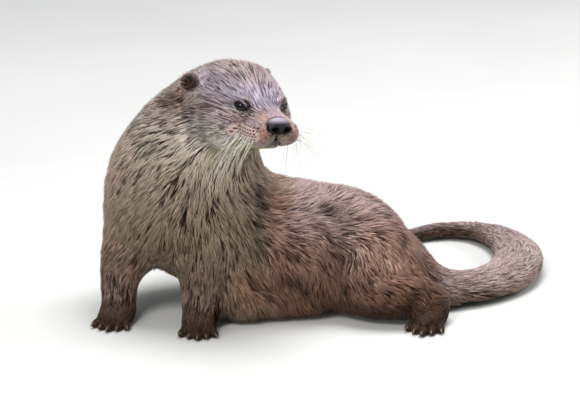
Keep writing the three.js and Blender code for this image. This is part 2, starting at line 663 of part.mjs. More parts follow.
// Each toe's claw, set in the toe's end
function claws(name) {
  const p = PAW[name],
    { f, s } = pawAxes(p);
  return toesOf[name].map((t) => {
    const g = new THREE.CylinderGeometry(CLAW.tip, CLAW.root, CLAW.length, CLAW.sides);
    g.translate(0, CLAW.length / 2, 0);
    const dir = unit(add(add(mul(f, t.b[0] - t.a[0]), mul(s, t.b[1] - t.a[1])), [0, 0, -2.5]));
    g.applyQuaternion(new THREE.Quaternion().setFromUnitVectors(new THREE.Vector3(0, 1, 0), new THREE.Vector3(...dir)));
    const at = add(p.heel, add(add(mul(f, t.b[0] + t.r1 * 0.35), mul(s, t.b[1])), [0, 0, t.b[2] + 1.2]));
    g.translate(...at);
    return solidOfGeometry(g);
  });
}

const floorBlock = block([-FAR, FAR, -FAR, FAR, -FAR, FLOOR_CUT]);
const biggest = (s) => s.decompose().reduce((a, b) => (b.volume() > a.volume() ? b : a));

// eyes and nose pad stand in pockets of the head
function ball(at, r, detail) {
  const g = new THREE.IcosahedronGeometry(1, detail);
  const m = new THREE.Matrix4().makeBasis(
    new THREE.Vector3(...mul(headForward, r[0])),
    new THREE.Vector3(...mul(headLeft, r[1])),
    new THREE.Vector3(...mul(headUp, r[2])),
  );
  m.setPosition(...fromHead(at));
  g.applyMatrix4(m);
  return solidOfGeometry(g);
}
const eyeR = [EYE.r, EYE.r, EYE.r];
const grown = (r) => r.map((v) => v + GAP);
const eyeAt = { eye_left: EYE.at, eye_right: [EYE.at[0], -EYE.at[1], EYE.at[2]] };

const made = {};
REGIONS.forEach((r, i) => {
  const pad = r.h * 1.6;
  let lo, hi;
  if (r.within) {
    lo = [r.within[0] - pad, r.within[2] - pad, r.within[4] - pad];
    hi = [r.within[1] + pad, r.within[3] + pad, r.within[5] + pad];
  } else {
    const c = [];
    for (let k = 0; k < 8; k++) {
      const q = [r.box[k & 1], r.box[2 + ((k >> 1) & 1)], r.box[4 + ((k >> 2) & 1)]];
      c.push(r.axes ? fromHead(q) : q);
    }
    lo = [0, 1, 2].map((k) => Math.min(...c.map((v) => v[k])) - pad);
    hi = [0, 1, 2].map((k) => Math.max(...c.map((v) => v[k])) + pad);
  }
  let mesh = polygonise(coat, lo, hi, r.h);
  const inner = (v) => [0, 1, 2].every((k) => v[k] > lo[k] + r.h * 0.2 && v[k] < hi[k] - r.h * 0.2);
  settle(mesh.V.filter(inner), coat, r.h, 2);
  const share = r.keep / Math.max(mesh.T.length, 1);
  mesh = thin(mesh, Math.max(r.keep * (r.spare ?? 1.15), 60));
  settle(mesh.V.filter(inner), coat, r.h, 1);
  let s = solidFrom(mesh.V, mesh.T).intersect(regionBlock(r, 0)).subtract(floorBlock);
  for (let j = 0; j < i; j++) s = s.subtract(regionBlock(REGIONS[j], GAP));
  if (r.name === "head") {
    for (const at of Object.values(eyeAt)) s = s.subtract(ball(at, grown(eyeR), 2));
    s = s.subtract(ball(NOSE_PAD.at, grown(NOSE_PAD.r), 2));
  }
  s = biggest(s);
  const limb = { forepaw_left: "fore_left", forepaw_right: "fore_right", hindfoot_left: "hind_left", hindfoot_right: "hind_right" }[r.name];
  if (limb) for (const c of claws(limb)) s = s.add(c);
  if (limb) s = biggest(s.subtract(floorBlock));
  made[r.name] = s;
});
made.eye_left = ball(eyeAt.eye_left, eyeR, 2);
made.eye_right = ball(eyeAt.eye_right, eyeR, 2);
let nose = ball(NOSE_PAD.at, NOSE_PAD.r, 2);
for (const side of [1, -1]) nose = nose.subtract(ball([NOSTRIL.at[0], NOSTRIL.at[1] * side, NOSTRIL.at[2]], NOSTRIL.r, 1));
made.nose = nose;

// ---------------------------------------------------------------- meshes
const PAINT = {
  coat: { color: 0x6b5446, roughness: 0.85 },
  face: { color: 0x7d675b, roughness: 0.8 },
  throat: { color: 0x9a8d80, roughness: 0.85 },
  flank: { color: 0x634a3c, roughness: 0.85 },
  tail: { color: 0x5f4c44, roughness: 0.85 },
  paw: { color: 0x4d392f, roughness: 0.8 },
  ear: { color: 0x4a392f, roughness: 0.85 },
  eye: { color: 0x140c08, roughness: 0.08 },
  nose: { color: 0x26242a, roughness: 0.45 },
};
const paintOf = (name) =>
  name.startsWith("eye") ? PAINT.eye
  : name === "nose" ? PAINT.nose
  : name.startsWith("ear") ? PAINT.ear
  : name.startsWith("tail") ? PAINT.tail
  : name.startsWith("forepaw") || name.startsWith("hindfoot") ? PAINT.paw
  : name === "head" ? PAINT.face
  : name === "neck" || name === "chest" ? PAINT.throat
  : name === "abdomen" || name === "rump" || name.startsWith("thigh") ? PAINT.flank
  : PAINT.coat;

// the part's own frame: the middle of its footprint
const lows = [Infinity, Infinity],
  highs = [-Infinity, -Infinity];
for (const s of Object.values(made)) {
  const b = s.boundingBox();
  for (const k of [0, 1]) {
    lows[k] = Math.min(lows[k], b.min[k]);
    highs[k] = Math.max(highs[k], b.max[k]);
  }
}
const MIDDLE = [(lows[0] + highs[0]) / 2, (lows[1] + highs[1]) / 2];

const group = new THREE.Group();
group.name = "otter";
for (const [name, s] of Object.entries(made)) {
  const m = s.getMesh();
  const pos = [];
  for (let i = 0; i < m.vertProperties.length; i += m.numProp)
    pos.push(m.vertProperties[i] - MIDDLE[0], m.vertProperties[i + 1] - MIDDLE[1], m.vertProperties[i + 2]);
  const g = new THREE.BufferGeometry();
  g.setAttribute("position", new THREE.Float32BufferAttribute(pos, 3));
  g.setIndex([...m.triVerts]);
  g.computeVertexNormals();
  const p = paintOf(name);
  const mesh = new THREE.Mesh(g, new THREE.MeshStandardMaterial({ color: p.color, roughness: p.roughness, metalness: 0, name: name + "_paint" }));
  mesh.name = name;
  group.add(mesh);
}

export default group;
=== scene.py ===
import math, time
import bpy
import numpy as np
from mathutils import Vector, Matrix, kdtree


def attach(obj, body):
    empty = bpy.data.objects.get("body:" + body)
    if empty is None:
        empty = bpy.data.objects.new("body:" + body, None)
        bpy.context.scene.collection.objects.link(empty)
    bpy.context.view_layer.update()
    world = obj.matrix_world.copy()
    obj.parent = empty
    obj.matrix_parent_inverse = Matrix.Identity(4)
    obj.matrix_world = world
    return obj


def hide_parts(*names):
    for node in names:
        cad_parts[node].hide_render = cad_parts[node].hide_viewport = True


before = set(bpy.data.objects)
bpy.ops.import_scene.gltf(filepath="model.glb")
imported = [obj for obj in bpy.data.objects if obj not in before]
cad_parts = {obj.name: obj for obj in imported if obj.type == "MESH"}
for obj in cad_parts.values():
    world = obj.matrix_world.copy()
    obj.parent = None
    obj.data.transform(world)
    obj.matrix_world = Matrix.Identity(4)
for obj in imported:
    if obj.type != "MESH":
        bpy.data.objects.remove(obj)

T0 = time.time()
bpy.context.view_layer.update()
rng = np.random.default_rng(7)
F = np.float32

# The body is drawn in millimetres in a working frame whose origin is under the nose; the part's
# frame is the middle of the footprint.
MIDDLE = np.array([32.498, 155.083, 0.0])


def to_part(P):
    return ((np.asarray(P, float) - MIDDLE) / 1000.0)


def unit(v):
    v = np.asarray(v, float)
    return v / np.linalg.norm(v)


# ------------------------------------------------------------------ the body's signed function
NOSE_TIP = np.array([-8.9, -15, 213.6])
YAW, PITCH, ROLL = math.radians(33), math.radians(0.5), math.radians(-6)
hf = np.array([math.sin(YAW) * math.cos(PITCH), -math.cos(YAW) * math.cos(PITCH), math.sin(PITCH)])
_l = unit(np.cross([0, 0, 1], hf))
_u = np.cross(hf, _l)
hleft = _l * math.cos(ROLL) + _u * math.sin(ROLL)
hup = _u * math.cos(ROLL) - _l * math.sin(ROLL)
RH = np.stack([hf, hleft, hup])


def in_head(p):
    return (p - NOSE_TIP.astype(p.dtype)) @ RH.T.astype(p.dtype)


def from_head(q):
    return NOSE_TIP + np.asarray(q, float) @ RH


TRUNK = [
    (-54, 61, 219.5, 43, 42, 0.2, 0.5, 0.9),
    (-70, 79, 205, 50, 49, 0.25, 0.8, 0.7),
    (-86, 89, 178, 60, 59, 0.2, 0.9, 0.5),
    (-99, 94, 150, 71, 67, 0.1, 0.9, 0.5),
    (-102, 100, 118, 83, 72, 0, 0.75, 0.7),
    (-80, 110, 90, 80, 70, 0, 0.4, 0.9),
    (-34, 112, 68, 78, 66, 0, 0.1, 1),
    (20, 111, 59, 76, 65, 0, 0, 1),
    (60, 112, 51.5, 72, 61.5, 0, 0, 1),
    (86, 112, 40.5, 63, 42, 0, 0, 1),
    (108, 111, 36, 52, 33.5, 0, 0, 1),
    (130, 110, 20, 41, 15, 0, 0, 1),
    (156, 109, 10, 31, 9, 0, 0, 1),
]
TAIL = [
    (120, 110, 24, 40, 24),
    (144, 109, 17, 33, 19),
    (166, 111, 14, 30, 16.5),
    (190, 121, 13.5, 28, 16.5),
    (213, 145, 13.5, 27.5, 17),
    (228, 178, 13.5, 27.5, 16),
    (234, 216, 13, 26.5, 15),
    (231, 254, 12, 24, 13.5),
    (217, 291, 11, 20, 11.5),
    (192, 317, 9.5, 16.5, 9.5),
    (161, 321, 8.5, 13.8, 8.5),
    (132, 308, 7.5, 11.5, 7.6),
    (108, 288, 6.5, 9, 6.6),
    (89, 264, 4.5, 5, 4.8),
]
LIMB = {
    "fore_right": [(-138, 88, 96, 42), (-160, 72, 62, 27), (-167, 60, 36, 19), (-167, 54, 14, 17)],
    "fore_left": [(-72, 78, 92, 42), (-80, 52, 62, 30), (-85, 38, 34, 21.5), (-87, 31, 14, 18)],
    "hind_left": [(88, 77, 50, 40), (78, 62, 36, 35), (106, 50, 30, 28), (139, 50, 20, 18)],
    "hind_right": [(74, 148, 44, 38), (64, 174, 36, 32), (92, 190, 27, 23), (120, 192, 18, 16)],
}
PAW = {
    "fore_right": dict(heel=(-166, 58, 0), to=(-0.25, -1, 0), l=46, w=44, h=19),
    "fore_left": dict(heel=(-87, 34, 0), to=(-0.05, -1, 0), l=46, w=44, h=19),
    "hind_left": dict(heel=(141, 60, 0), to=(-0.24, -1, 0), l=62, w=44, h=19),
    "hind_right": dict(heel=(124, 186, 0), to=(0.12, 1, 0), l=62, w=44, h=19),
}
EYE_AT, EYE_R = (-36, 21.8, 14.4), 6.8
NOSE_AT, NOSE_R = (-5, 0, 1.3), (7.5, 13.2, 8.2)
PAD_AT, PAD_R = (-17.5, 14, -7.5), (18.5, 15.5, 13.5)
JAW_AT, JAW_R = (-47, 0, -14.5), (34, 23, 14.5)
CHIN_AT, CHIN_R = (-17, 0, -15.5), (11, 11, 7)


def smin(a, b, k):
    h = np.maximum(k - np.abs(a - b), 0) / k
    return np.minimum(a, b) - h * h * (k * 0.25)


def smax(a, b, k):
    return -smin(-a, -b, k)


def ell(q, c, r):
    r = np.asarray(r, q.dtype)
    w = q - np.asarray(c, q.dtype)
    e = w / r
    k0 = np.sqrt((e * e).sum(-1)) + 1e-6
    g = e / r
    return k0 * (k0 - 1) / (np.sqrt((g * g).sum(-1)) + 1e-9)


def rcone(q, a, b, r1, r2, sy=1.0):
    sc = np.array([1, sy, 1], q.dtype)
    q = q / sc
    a = np.asarray(a, q.dtype) / sc
    b = np.asarray(b, q.dtype) / sc
    ba = b - a
    w = q - a
    t = np.clip(w @ ba / (ba @ ba), 0, 1)
    return np.sqrt(((w - t[:, None] * ba) ** 2).sum(-1)) - (r1 + (r2 - r1) * t)


def through(rows, fine):
    P = np.asarray(rows, float)
    n = len(P)
    out = []
    for i in range(n - 1):
        p1, p2 = P[i], P[i + 1]
        p0 = P[i - 1] if i else 2 * p1 - p2
        p3 = P[i + 2] if i + 2 < n else 2 * p2 - p1
        a, b, c = [max(np.linalg.norm((v - w)[:3]), 1e-6) for v, w in ((p1, p0), (p2, p1), (p3, p2))]
        m1 = b * ((p2 - p1) / b * a + (p1 - p0) / a * b) / (a + b)
        m2 = b * ((p3 - p2) / c * b + (p2 - p1) / b * c) / (b + c)
        for s in range(fine):
            t = s / fine
            out.append((2 * t**3 - 3 * t * t + 1) * p1 + (t**3 - 2 * t * t + t) * m1 + (-2 * t**3 + 3 * t * t) * p2 + (t**3 - t * t) * m2)
    out.append(P[-1])
    return np.array(out)


class Chain:
    def __init__(s, rows, fine):
        S = through(rows, fine)
        s.P, s.a, s.b, U = S[:, :3], S[:, 3], S[:, 4], S[:, 5:8]
        d = np.diff(s.P, axis=0)
        s.L = np.linalg.norm(d, axis=1)
        s.T = d / s.L[:, None]
        Um = (U[1:] + U[:-1]) / 2
        Um = Um - (Um * s.T).sum(1)[:, None] * s.T
        s.U = Um / np.linalg.norm(Um, axis=1)[:, None]
        s.S = np.cross(s.T, s.U)
        r = max(s.a.max(), s.b.max())
        s.lo, s.hi = s.P.min(0) - r, s.P.max(0) + r
        s.start = np.concatenate([[0], np.cumsum(s.L)])

    def walk(s, p, want=False):
        """distance to the chain; with want also the segment number and the length run to there"""
        far = np.sqrt((np.maximum(np.maximum(s.lo.astype(p.dtype) - p, p - s.hi.astype(p.dtype)), 0) ** 2).sum(-1))
        out = np.where(far > 45, far, 1e3).astype(p.dtype)
        near = np.nonzero(far <= 45)[0]
        q = p[near]
        best = np.full(len(q), 1e9, p.dtype)
        seg = np.zeros(len(q), np.int32)
        run = np.zeros(len(q), p.dtype)
        for i in range(len(s.L)):
            w = q - s.P[i].astype(p.dtype)
            c = w @ np.stack([s.S[i], s.U[i], s.T[i]], 1).astype(p.dtype)
            t = np.clip(c[:, 2] / F(s.L[i]), 0, 1)
            a = F(s.a[i]) + F(s.a[i + 1] - s.a[i]) * t
            b = F(s.b[i]) + F(s.b[i + 1] - s.b[i]) * t
            r = np.minimum(a, b)
            x = c[:, 0] / a
            y = c[:, 1] / b
            z = (c[:, 2] - t * F(s.L[i])) / r
            k0 = np.sqrt(x * x + y * y + z * z)
            k1 = np.sqrt((x / a) ** 2 + (y / b) ** 2 + (z / r) ** 2) + 1e-9
            d = k0 * (k0 - 1) / k1
            m = d < best
            best = np.where(m, d, best)
            if want:
                seg[m] = i
                run[m] = s.start[i] + t[m] * s.L[i]
        out[near] = best
        if not want:
            return out
        SEG = np.zeros(len(p), np.int32)
        SEG[near] = seg
        RUN = np.zeros(len(p), p.dtype)
        RUN[near] = run
        return out, SEG, RUN


cTRUNK = Chain(TRUNK, 5)
cTAIL = Chain([r + (0, 0, 1) for r in TAIL], 4)
cLIMB = {k: Chain([r + (r[3],) + ((0, -1, 0) if k[0] == "f" else (0, 0, 1)) for r in v], 3) for k, v in LIMB.items()}


def skull(q):
    m = q.copy()
    m[:, 1] = np.abs(m[:, 1])
    d = ell(q, (-84, 0, 6), (42, 43, 32))
    d = smin(d, rcone(q, (-62, 0, 8), (-14, 0, 2.6), 23, 11.5, 1.3), 18)
    d = smin(d, ell(m, (-64, 25, -8), (33, 23, 26)), 16)
    jaw = ell(q, JAW_AT, JAW_R)
    d = smin(d, jaw, 14)
    pad = ell(m, PAD_AT, PAD_R)
    d = smin(d, pad, 8)
    chin = ell(q, CHIN_AT, CHIN_R)
    d = smin(d, chin, 5)
    d = smin(d, ell(m, (-42, 19, 19), (13, 9, 5.5)), 12)
    return d


EARN = unit((0.6, 0.74, 0.3))
EART = unit(np.cross([0, 0, 1], EARN))
EARB = np.cross(EARN, EART)
EAR_AT = (-93.5, 44, 26.5)


def ear_axes(q, side):
    w = q * np.array([1, side, 1], q.dtype) - np.array(EAR_AT, q.dtype)
    return w @ np.stack([EART, EARB, EARN], 1).astype(q.dtype)


def ear(q, side):
    w = ear_axes(q, side)
    return smax(ell(w, (0, 0, 0), (12.5, 11, 5.5)), -ell(w, (0.8, -1, 5.5), (9, 7.6, 5)), 2)


def toes(p):
    out = []
    for i in range(5):
        k = i - 2
        side = k / 4 * p["w"] * 0.74
        reach = p["l"] * (1 - 0.1 * abs(k) ** 1.2 / 1.2) - p["w"] * 0.09
        out.append(((p["l"] * 0.42, side * 0.62, p["h"] * 0.4), (reach, side, p["w"] * 0.095 - 0.4), p["w"] * 0.12, p["w"] * 0.095))
    return out


def paw_axes(p):
    f = unit(p["to"])
    return f, np.array([f[1], -f[0], 0])


def in_paw(P, p):
    f, s = paw_axes(p)
    w = P - np.array(p["heel"], P.dtype)
    return np.stack([w @ f.astype(P.dtype), w @ s.astype(P.dtype), P[:, 2]], 1)


def paw(P, p, skin=False):
    q = in_paw(P, p)
    d = ell(q, (p["l"] * 0.34, 0, p["h"] * 0.42), (p["l"] * 0.46, p["w"] * 0.4, p["h"] * 0.72))
    for a, b, r0, r1 in toes(p):
        d = smin(d, rcone(q, a, b, r0, r1), 1.6 if skin else 3)
    return d


NAMES = ["head", "trunk", "tail", "fore_right", "fore_left", "hind_left", "hind_right", "ear_l", "ear_r"]


def parts_of(p, skin=False):
    """distance of each part, one row each"""
    q = in_head(p)
    near = np.sqrt((np.maximum(np.abs(q - np.array([-60, 0, 5], q.dtype)) - np.array([75, 50, 45], q.dtype), 0) ** 2).sum(-1)) < 60
    D = np.full((9, len(p)), 80, p.dtype)
    D[0, near] = skull(q[near])
    t = cTRUNK.walk(p)
    t = smin(t, ell(p, (-104, 60, 104), (56, 40, 44)), 24)
    t = smin(t, ell(p, (-46, 86, 36), (46, 40, 40)), 20)
    t = smin(t, rcone(p, (-62, 60, 64), (-46, 52, 24), 29, 24), 12)
    t = smin(t, rcone(p, (-46, 53, 24), (16, 60, 21), 23.6, 21), 14)
    D[1] = t
    D[2] = cTAIL.walk(p)
    for i, k in enumerate(("fore_right", "fore_left", "hind_left", "hind_right")):
        c = cLIMB[k]
        m = ((p > (c.lo - 60).astype(p.dtype)) & (p < (c.hi + 60).astype(p.dtype))).all(1)
        D[3 + i, m] = smin(c.walk(p[m]), paw(p[m], PAW[k], skin), 7)
    for i, s in enumerate((1, -1)):
        m = near & (q[:, 1] * s > 10)
        D[7 + i, m] = ear(q[m], s)
    return D, q


def whole(D):
    d = smin(D[1], D[2], 14)
    d = smin(d, D[0], 20)
    for i in (3, 4, 5, 6):
        d = smin(d, D[i], 20)
    d = smin(d, D[7], 5)
    return smin(d, D[8], 5)


def coat_depth(p, q, D):
    """how far the skin lies under the tips of the coat"""
    z = p[:, 2]
    head = np.interp(q[:, 0], [-125, -100, -75, -50, -30, -12, 0], [7, 5.5, 3.4, 2.4, 1.5, 0.9, 0.7])
    leg = np.interp(z, [6, 16, 30, 50, 75], [0.8, 1.3, 2.6, 4.5, 7])
    tail = np.interp(p[:, 0] + 0 * z, [60, 110, 160, 200], [1.8, 2.6, 3.6, 4.2])
    body = np.interp(z, [0, 20, 60], [5, 6.5, 7.5])
    V = [head, body, tail, leg, leg, leg, leg, np.full_like(head, 1.0), np.full_like(head, 1.0)]
    W = np.exp(-(D - D.min(0)) / 7.0)
    W[7:] *= 6
    return sum(w * v for w, v in zip(W, V)) / W.sum(0)


eye_axis = unit((0.60, 0.76, 0.26))
eye_t = unit(np.cross(np.cross(eye_axis, (1, -0.25, -0.28)), eye_axis))  # towards the nose, along the slit
eye_b = unit(np.cross(eye_axis, eye_t))
if eye_b[2] < 0:
    eye_b = -eye_b


def eye_frame(q):
    m = q.copy()
    m[:, 1] = np.abs(m[:, 1])
    w = m - np.array(EYE_AT, q.dtype)
    return w @ np.stack([eye_t, eye_b, eye_axis], 1).astype(q.dtype)


def lid_gap(e):
    """below 1 inside the opening of the lids"""
    x = e[:, 0] - 0.2
    up = 3.15 - 0.13 * x
    lo = 3.9 + 0.04 * x
    y = np.where(e[:, 1] > 0, e[:, 1] / up, e[:, 1] / lo)
    return np.sqrt((np.abs(x) / 5.5) ** 2.2 + np.abs(y) ** 2)


def face_detail(q, d):
    """lids, lips and creases, in the head's axes"""
    m = q.copy()
    m[:, 1] = np.abs(m[:, 1])
    near = (q[:, 0] > -70) & (q[:, 0] < 6)
    i = np.nonzero(near)[0]
    if not len(i):
        return d
    qq, mm, dd = q[i], m[i], d[i]
    e = eye_frame(qq)
    # hollow in front of the eye, ridge above it, fold below it
    dd = dd + 1.0 * np.exp(-(((e[:, 0] - 9.0) / 4.5) ** 2 + ((e[:, 1] + 0.3) / 3.4) ** 2 + (e[:, 2] / 9) ** 2))
    dd = dd - 0.7 * np.exp(-(((e[:, 0] - 1) / 9) ** 2 + ((e[:, 1] - 7.2) / 2.4) ** 2 + (e[:, 2] / 9) ** 2))
    dd = dd + 0.9 * np.exp(-(((e[:, 0] + 2) / 9) ** 2 + ((e[:, 1] + 7.6 + 0.02 * e[:, 0] ** 2) / 1.0) ** 2 + (e[:, 2] / 9) ** 2))
    dd = smin(dd, np.sqrt((e**2).sum(1)) - 7.8, 3.0)
    dd = smax(dd, -np.maximum((lid_gap(e) - 1) * 3.8, 2.0 - e[:, 2]), 0.6)
    # mouth: the whisker pads' lips over the jaw, and the cleft under the nose
    pad = ell(mm, PAD_AT, PAD_R)
    jaw = smin(ell(qq, JAW_AT, JAW_R), ell(qq, CHIN_AT, CHIN_R), 6)
    k = np.exp(-(((pad - jaw - 0.6) / 1.1) ** 2)) * (qq[:, 2] < -7) * np.clip((qq[:, 0] + 44) / 12, 0, 1)
    dd = dd + 2.2 * k
    k = np.exp(-((qq[:, 1] / 1.1) ** 2)) * np.clip((-3 - qq[:, 2]) / 2, 0, 1) * np.clip((qq[:, 2] + 20) / 3, 0, 1) * (qq[:, 0] > -12)
    dd = dd + 1.8 * k
    # the pad stands out from the cheek behind it
    k = np.exp(-(((pad - 2.6) / 1.6) ** 2)) * (qq[:, 0] < -22) * (qq[:, 2] < 4)
    dd = dd + 0.8 * k
    d = d.copy()
    d[i] = dd
    return d


CREASES = [
    # behind the near elbow and shoulder
    ([(-26, 66, 126), (-27, 47, 108), (-30, 37, 89), (-31, 34, 72), (-33, 34, 55), (-34, 33, 42)], 5.5, 6.5),
    # between the elbow and the forearm
    ([(-62, 22, 58), (-66, 22, 40), (-69, 22, 22), (-71, 20, 8)], 4.0, 5.0),
    # above the elbow's roll
    ([(-34, 31, 52), (-20, 34, 48), (-4, 38, 44), (14, 44, 38)], 2.6, 6.0),
    # in front of the thigh, near side and far side
    ([(38, 74, 110), (50, 63, 104), (56, 56, 96), (54, 48, 86), (51, 41, 75), (47, 37, 61), (45, 36, 46), (52, 36, 30)], 9.0, 8.0),
    ([(38, 149, 110), (50, 160, 104), (56, 167, 96), (54, 175, 86), (51, 182, 75), (47, 186, 61), (45, 187, 46), (52, 187, 30)], 9.0, 8.0),
    # behind the far elbow
    ([(-178, 150, 96), (-172, 160, 74), (-160, 166, 54), (-146, 164, 36)], 4.5, 7.0),
]
BULGES = [((84, 44, 70), 34, 3.0), ((84, 180, 70), 34, 3.0), ((-44, 30, 32), 24, 1.2), ((-22, 36, 38), 18, 0.8)]


def line_distance(p, path):
    path = np.asarray(path, float)
    best = np.full(len(p), 1e9, p.dtype)
    for a, b in zip(path[:-1], path[1:]):
        ab = (b - a).astype(p.dtype)
        w = p - a.astype(p.dtype)
        t = np.clip(w @ ab / (ab @ ab), 0, 1)
        best = np.minimum(best, ((w - t[:, None] * ab) ** 2).sum(1))
    return np.sqrt(best)


def creased(p):
    """how deep the folds of the body are at each point, and how near a fold it is (0..1)"""
    d = np.zeros(len(p), p.dtype)
    n = np.zeros(len(p), p.dtype)
    for path, deep, wide in CREASES:
        a = np.asarray(path, float)
        m = ((p > a.min(0) - 26) & (p < a.max(0) + 26)).all(1)
        if m.any():
            k = np.exp(-((line_distance(p[m], path) / wide) ** 2))
            d[m] += deep * k
            n[m] = np.maximum(n[m], k)
    for at, wide, high in BULGES:
        r2 = ((p - np.asarray(at, p.dtype)) ** 2).sum(1)
        d -= high * np.exp(-r2 / wide**2)
    return d, n


def skin_fn(p):
    D, q = parts_of(p, True)
    d = whole(D) + coat_depth(p, q, D).astype(p.dtype) + creased(p)[0]
    return face_detail(q, d)


def coat_fn(p):
    return whole(parts_of(p)[0])


# ------------------------------------------------------------------ polygonising
EDG = [(a, a | (1 << ax), ax) for a in range(8) for ax in range(3) if not a & (1 << ax)]
EIDX = {(a, b): i for i, (a, b, _) in enumerate(EDG)}


def sheet_table():
    faces = []
    for ax in range(3):
        o = [i for i in range(3) if i != ax]
        for s in (0, 1):
            b = s << ax
            faces.append([b, b | (1 << o[0]), b | (1 << o[0]) | (1 << o[1]), b | (1 << o[1])])
    T = np.full((256, 12), -1)
    N = np.zeros(256, int)
    for m in range(256):
        ins = [(m >> i) & 1 for i in range(8)]
        par = list(range(12))

        def find(x):
            while par[x] != x:
                x = par[x]
            return x

        act = [ins[a] != ins[b] for a, b, _ in EDG]
        for c in faces:
            es = [EIDX[(min(c[i], c[(i + 1) % 4]), max(c[i], c[(i + 1) % 4]))] for i in range(4)]
            cr = [e for e in es if act[e]]
            if len(cr) == 2:
                par[find(cr[0])] = find(cr[1])
            elif len(cr) == 4:
                for i in range(4):
                    if ins[c[i]]:
                        par[find(es[i - 1])] = find(es[i])
        roots = {}
        for e in range(12):
            if act[e]:
                T[m, e] = roots.setdefault(find(e), len(roots))
        N[m] = len(roots)
    return T, N


def nets(fn, lo, hi, h, coarse=4):
    TAB, NC = sheet_table()
    lo, hi = np.asarray(lo, float), np.asarray(hi, float)
    nb = np.ceil(np.ceil((hi - lo) / h) / coarse).astype(int) + 1
    n = nb * coarse
    C = np.stack(np.meshgrid(*[np.arange(nb[i]) * coarse * h + lo[i] + coarse * h / 2 for i in range(3)], indexing="ij"), -1).reshape(-1, 3).astype(F)
    dC = fn(C)
    r = coarse * h * 0.5 * 1.7321 * 1.35 + h
    G0 = np.where(dC < 0, -1e3, 1e3).astype(F).reshape(nb)
    for ax in range(3):
        G0 = np.repeat(G0, coarse, ax)
    Fd = np.pad(G0, ((0, 1),) * 3, constant_values=1e3)
    idx = np.argwhere((np.abs(dC) < r).reshape(nb))
    loc = np.stack(np.meshgrid(*[np.arange(coarse + 1)] * 3, indexing="ij"), -1).reshape(-1, 3)
    G = (idx[:, None, :] * coarse + loc[None]).reshape(-1, 3)
    key = (G[:, 0] * (n[1] + 1) + G[:, 1]) * (n[2] + 1) + G[:, 2]
    key, ui = np.unique(key, return_index=True)
    G = G[ui]
    P = (lo + G * h).astype(F)
    Fd[G[:, 0], G[:, 1], G[:, 2]] = fn(P)
    m = np.zeros(n, np.uint8)
    for i in range(8):
        a, b, c = i & 1, (i >> 1) & 1, (i >> 2) & 1
        m |= (Fd[a : n[0] + a, b : n[1] + b, c : n[2] + c] < 0).astype(np.uint8) << i
    act = np.argwhere((m > 0) & (m < 255))
    mm = m[act[:, 0], act[:, 1], act[:, 2]]
    base = np.concatenate([[0], np.cumsum(NC[mm])])
    vid = np.full(m.shape, -1, np.int64)
    vid[act[:, 0], act[:, 1], act[:, 2]] = base[:-1]
    acc, cnt = np.zeros((base[-1], 3)), np.zeros(base[-1])
    vals = np.stack([Fd[act[:, 0] + (i & 1), act[:, 1] + ((i >> 1) & 1), act[:, 2] + ((i >> 2) & 1)] for i in range(8)], 1)
    for e, (a, b, ax) in enumerate(EDG):
        t = TAB[mm, e]
        on = t >= 0
        fa, fb = vals[on, a], vals[on, b]
        s = np.clip(fa / (fa - fb + 1e-12), 0.02, 0.98)
        p = act[on] + np.array([a & 1, (a >> 1) & 1, (a >> 2) & 1], float)
        p[:, ax] += s
        v = base[:-1][on] + t[on]
        for k in range(3):
            acc[:, k] += np.bincount(v, p[:, k], base[-1])
        cnt += np.bincount(v, minlength=base[-1])
    V = lo + acc / np.maximum(cnt, 1)[:, None] * h
    quads = []
    for ax in range(3):
        o = [(ax + 1) % 3, (ax + 2) % 3]
        sl = [slice(1, Fd.shape[i] - 1) for i in range(3)]
        sl[ax] = slice(0, Fd.shape[ax] - 1)
        E = np.argwhere((Fd[tuple(sl)] < 0) != (np.roll(Fd, -1, ax)[tuple(sl)] < 0))
        off = np.array([1, 1, 1])
        off[ax] = 0
        E = E + off
        ina = Fd[E[:, 0], E[:, 1], E[:, 2]] < 0
        q = []
        for i, j in ((0, 0), (1, 0), (1, 1), (0, 1)):
            c = E.copy()
            c[:, o[0]] -= i
            c[:, o[1]] -= j
            cor = (i << o[0]) | (j << o[1])
            e = EIDX[(cor, cor | (1 << ax))]
            q.append(vid[c[:, 0], c[:, 1], c[:, 2]] + TAB[m[c[:, 0], c[:, 1], c[:, 2]], e])
        q = np.stack(q, 1)
        q[~ina] = q[~ina][:, ::-1]
        quads.append(q)
    Q = np.concatenate(quads)
    return V, np.concatenate([Q[:, [0, 1, 2]], Q[:, [0, 2, 3]]])


def settle(fn, V, h, rounds=2, e=0.3):
    V = V.astype(F)
    for _ in range(rounds):
        n = len(V)
        st = np.concatenate([V] + [V + F(s * e) * np.eye(3, dtype=F)[k] for k in range(3) for s in (1, -1)])
        d = fn(st)
        g = np.stack([(d[(1 + 2 * k) * n : (2 + 2 * k) * n] - d[(2 + 2 * k) * n : (3 + 2 * k) * n]) / (2 * e) for k in range(3)], 1)
        s = -(d[:n] / ((g * g).sum(1) + 1e-3))[:, None] * g
        L = np.linalg.norm(s, axis=1)
        V = V + s * np.minimum(1, 0.6 * h / np.maximum(L, 1e-9))[:, None]
    return V


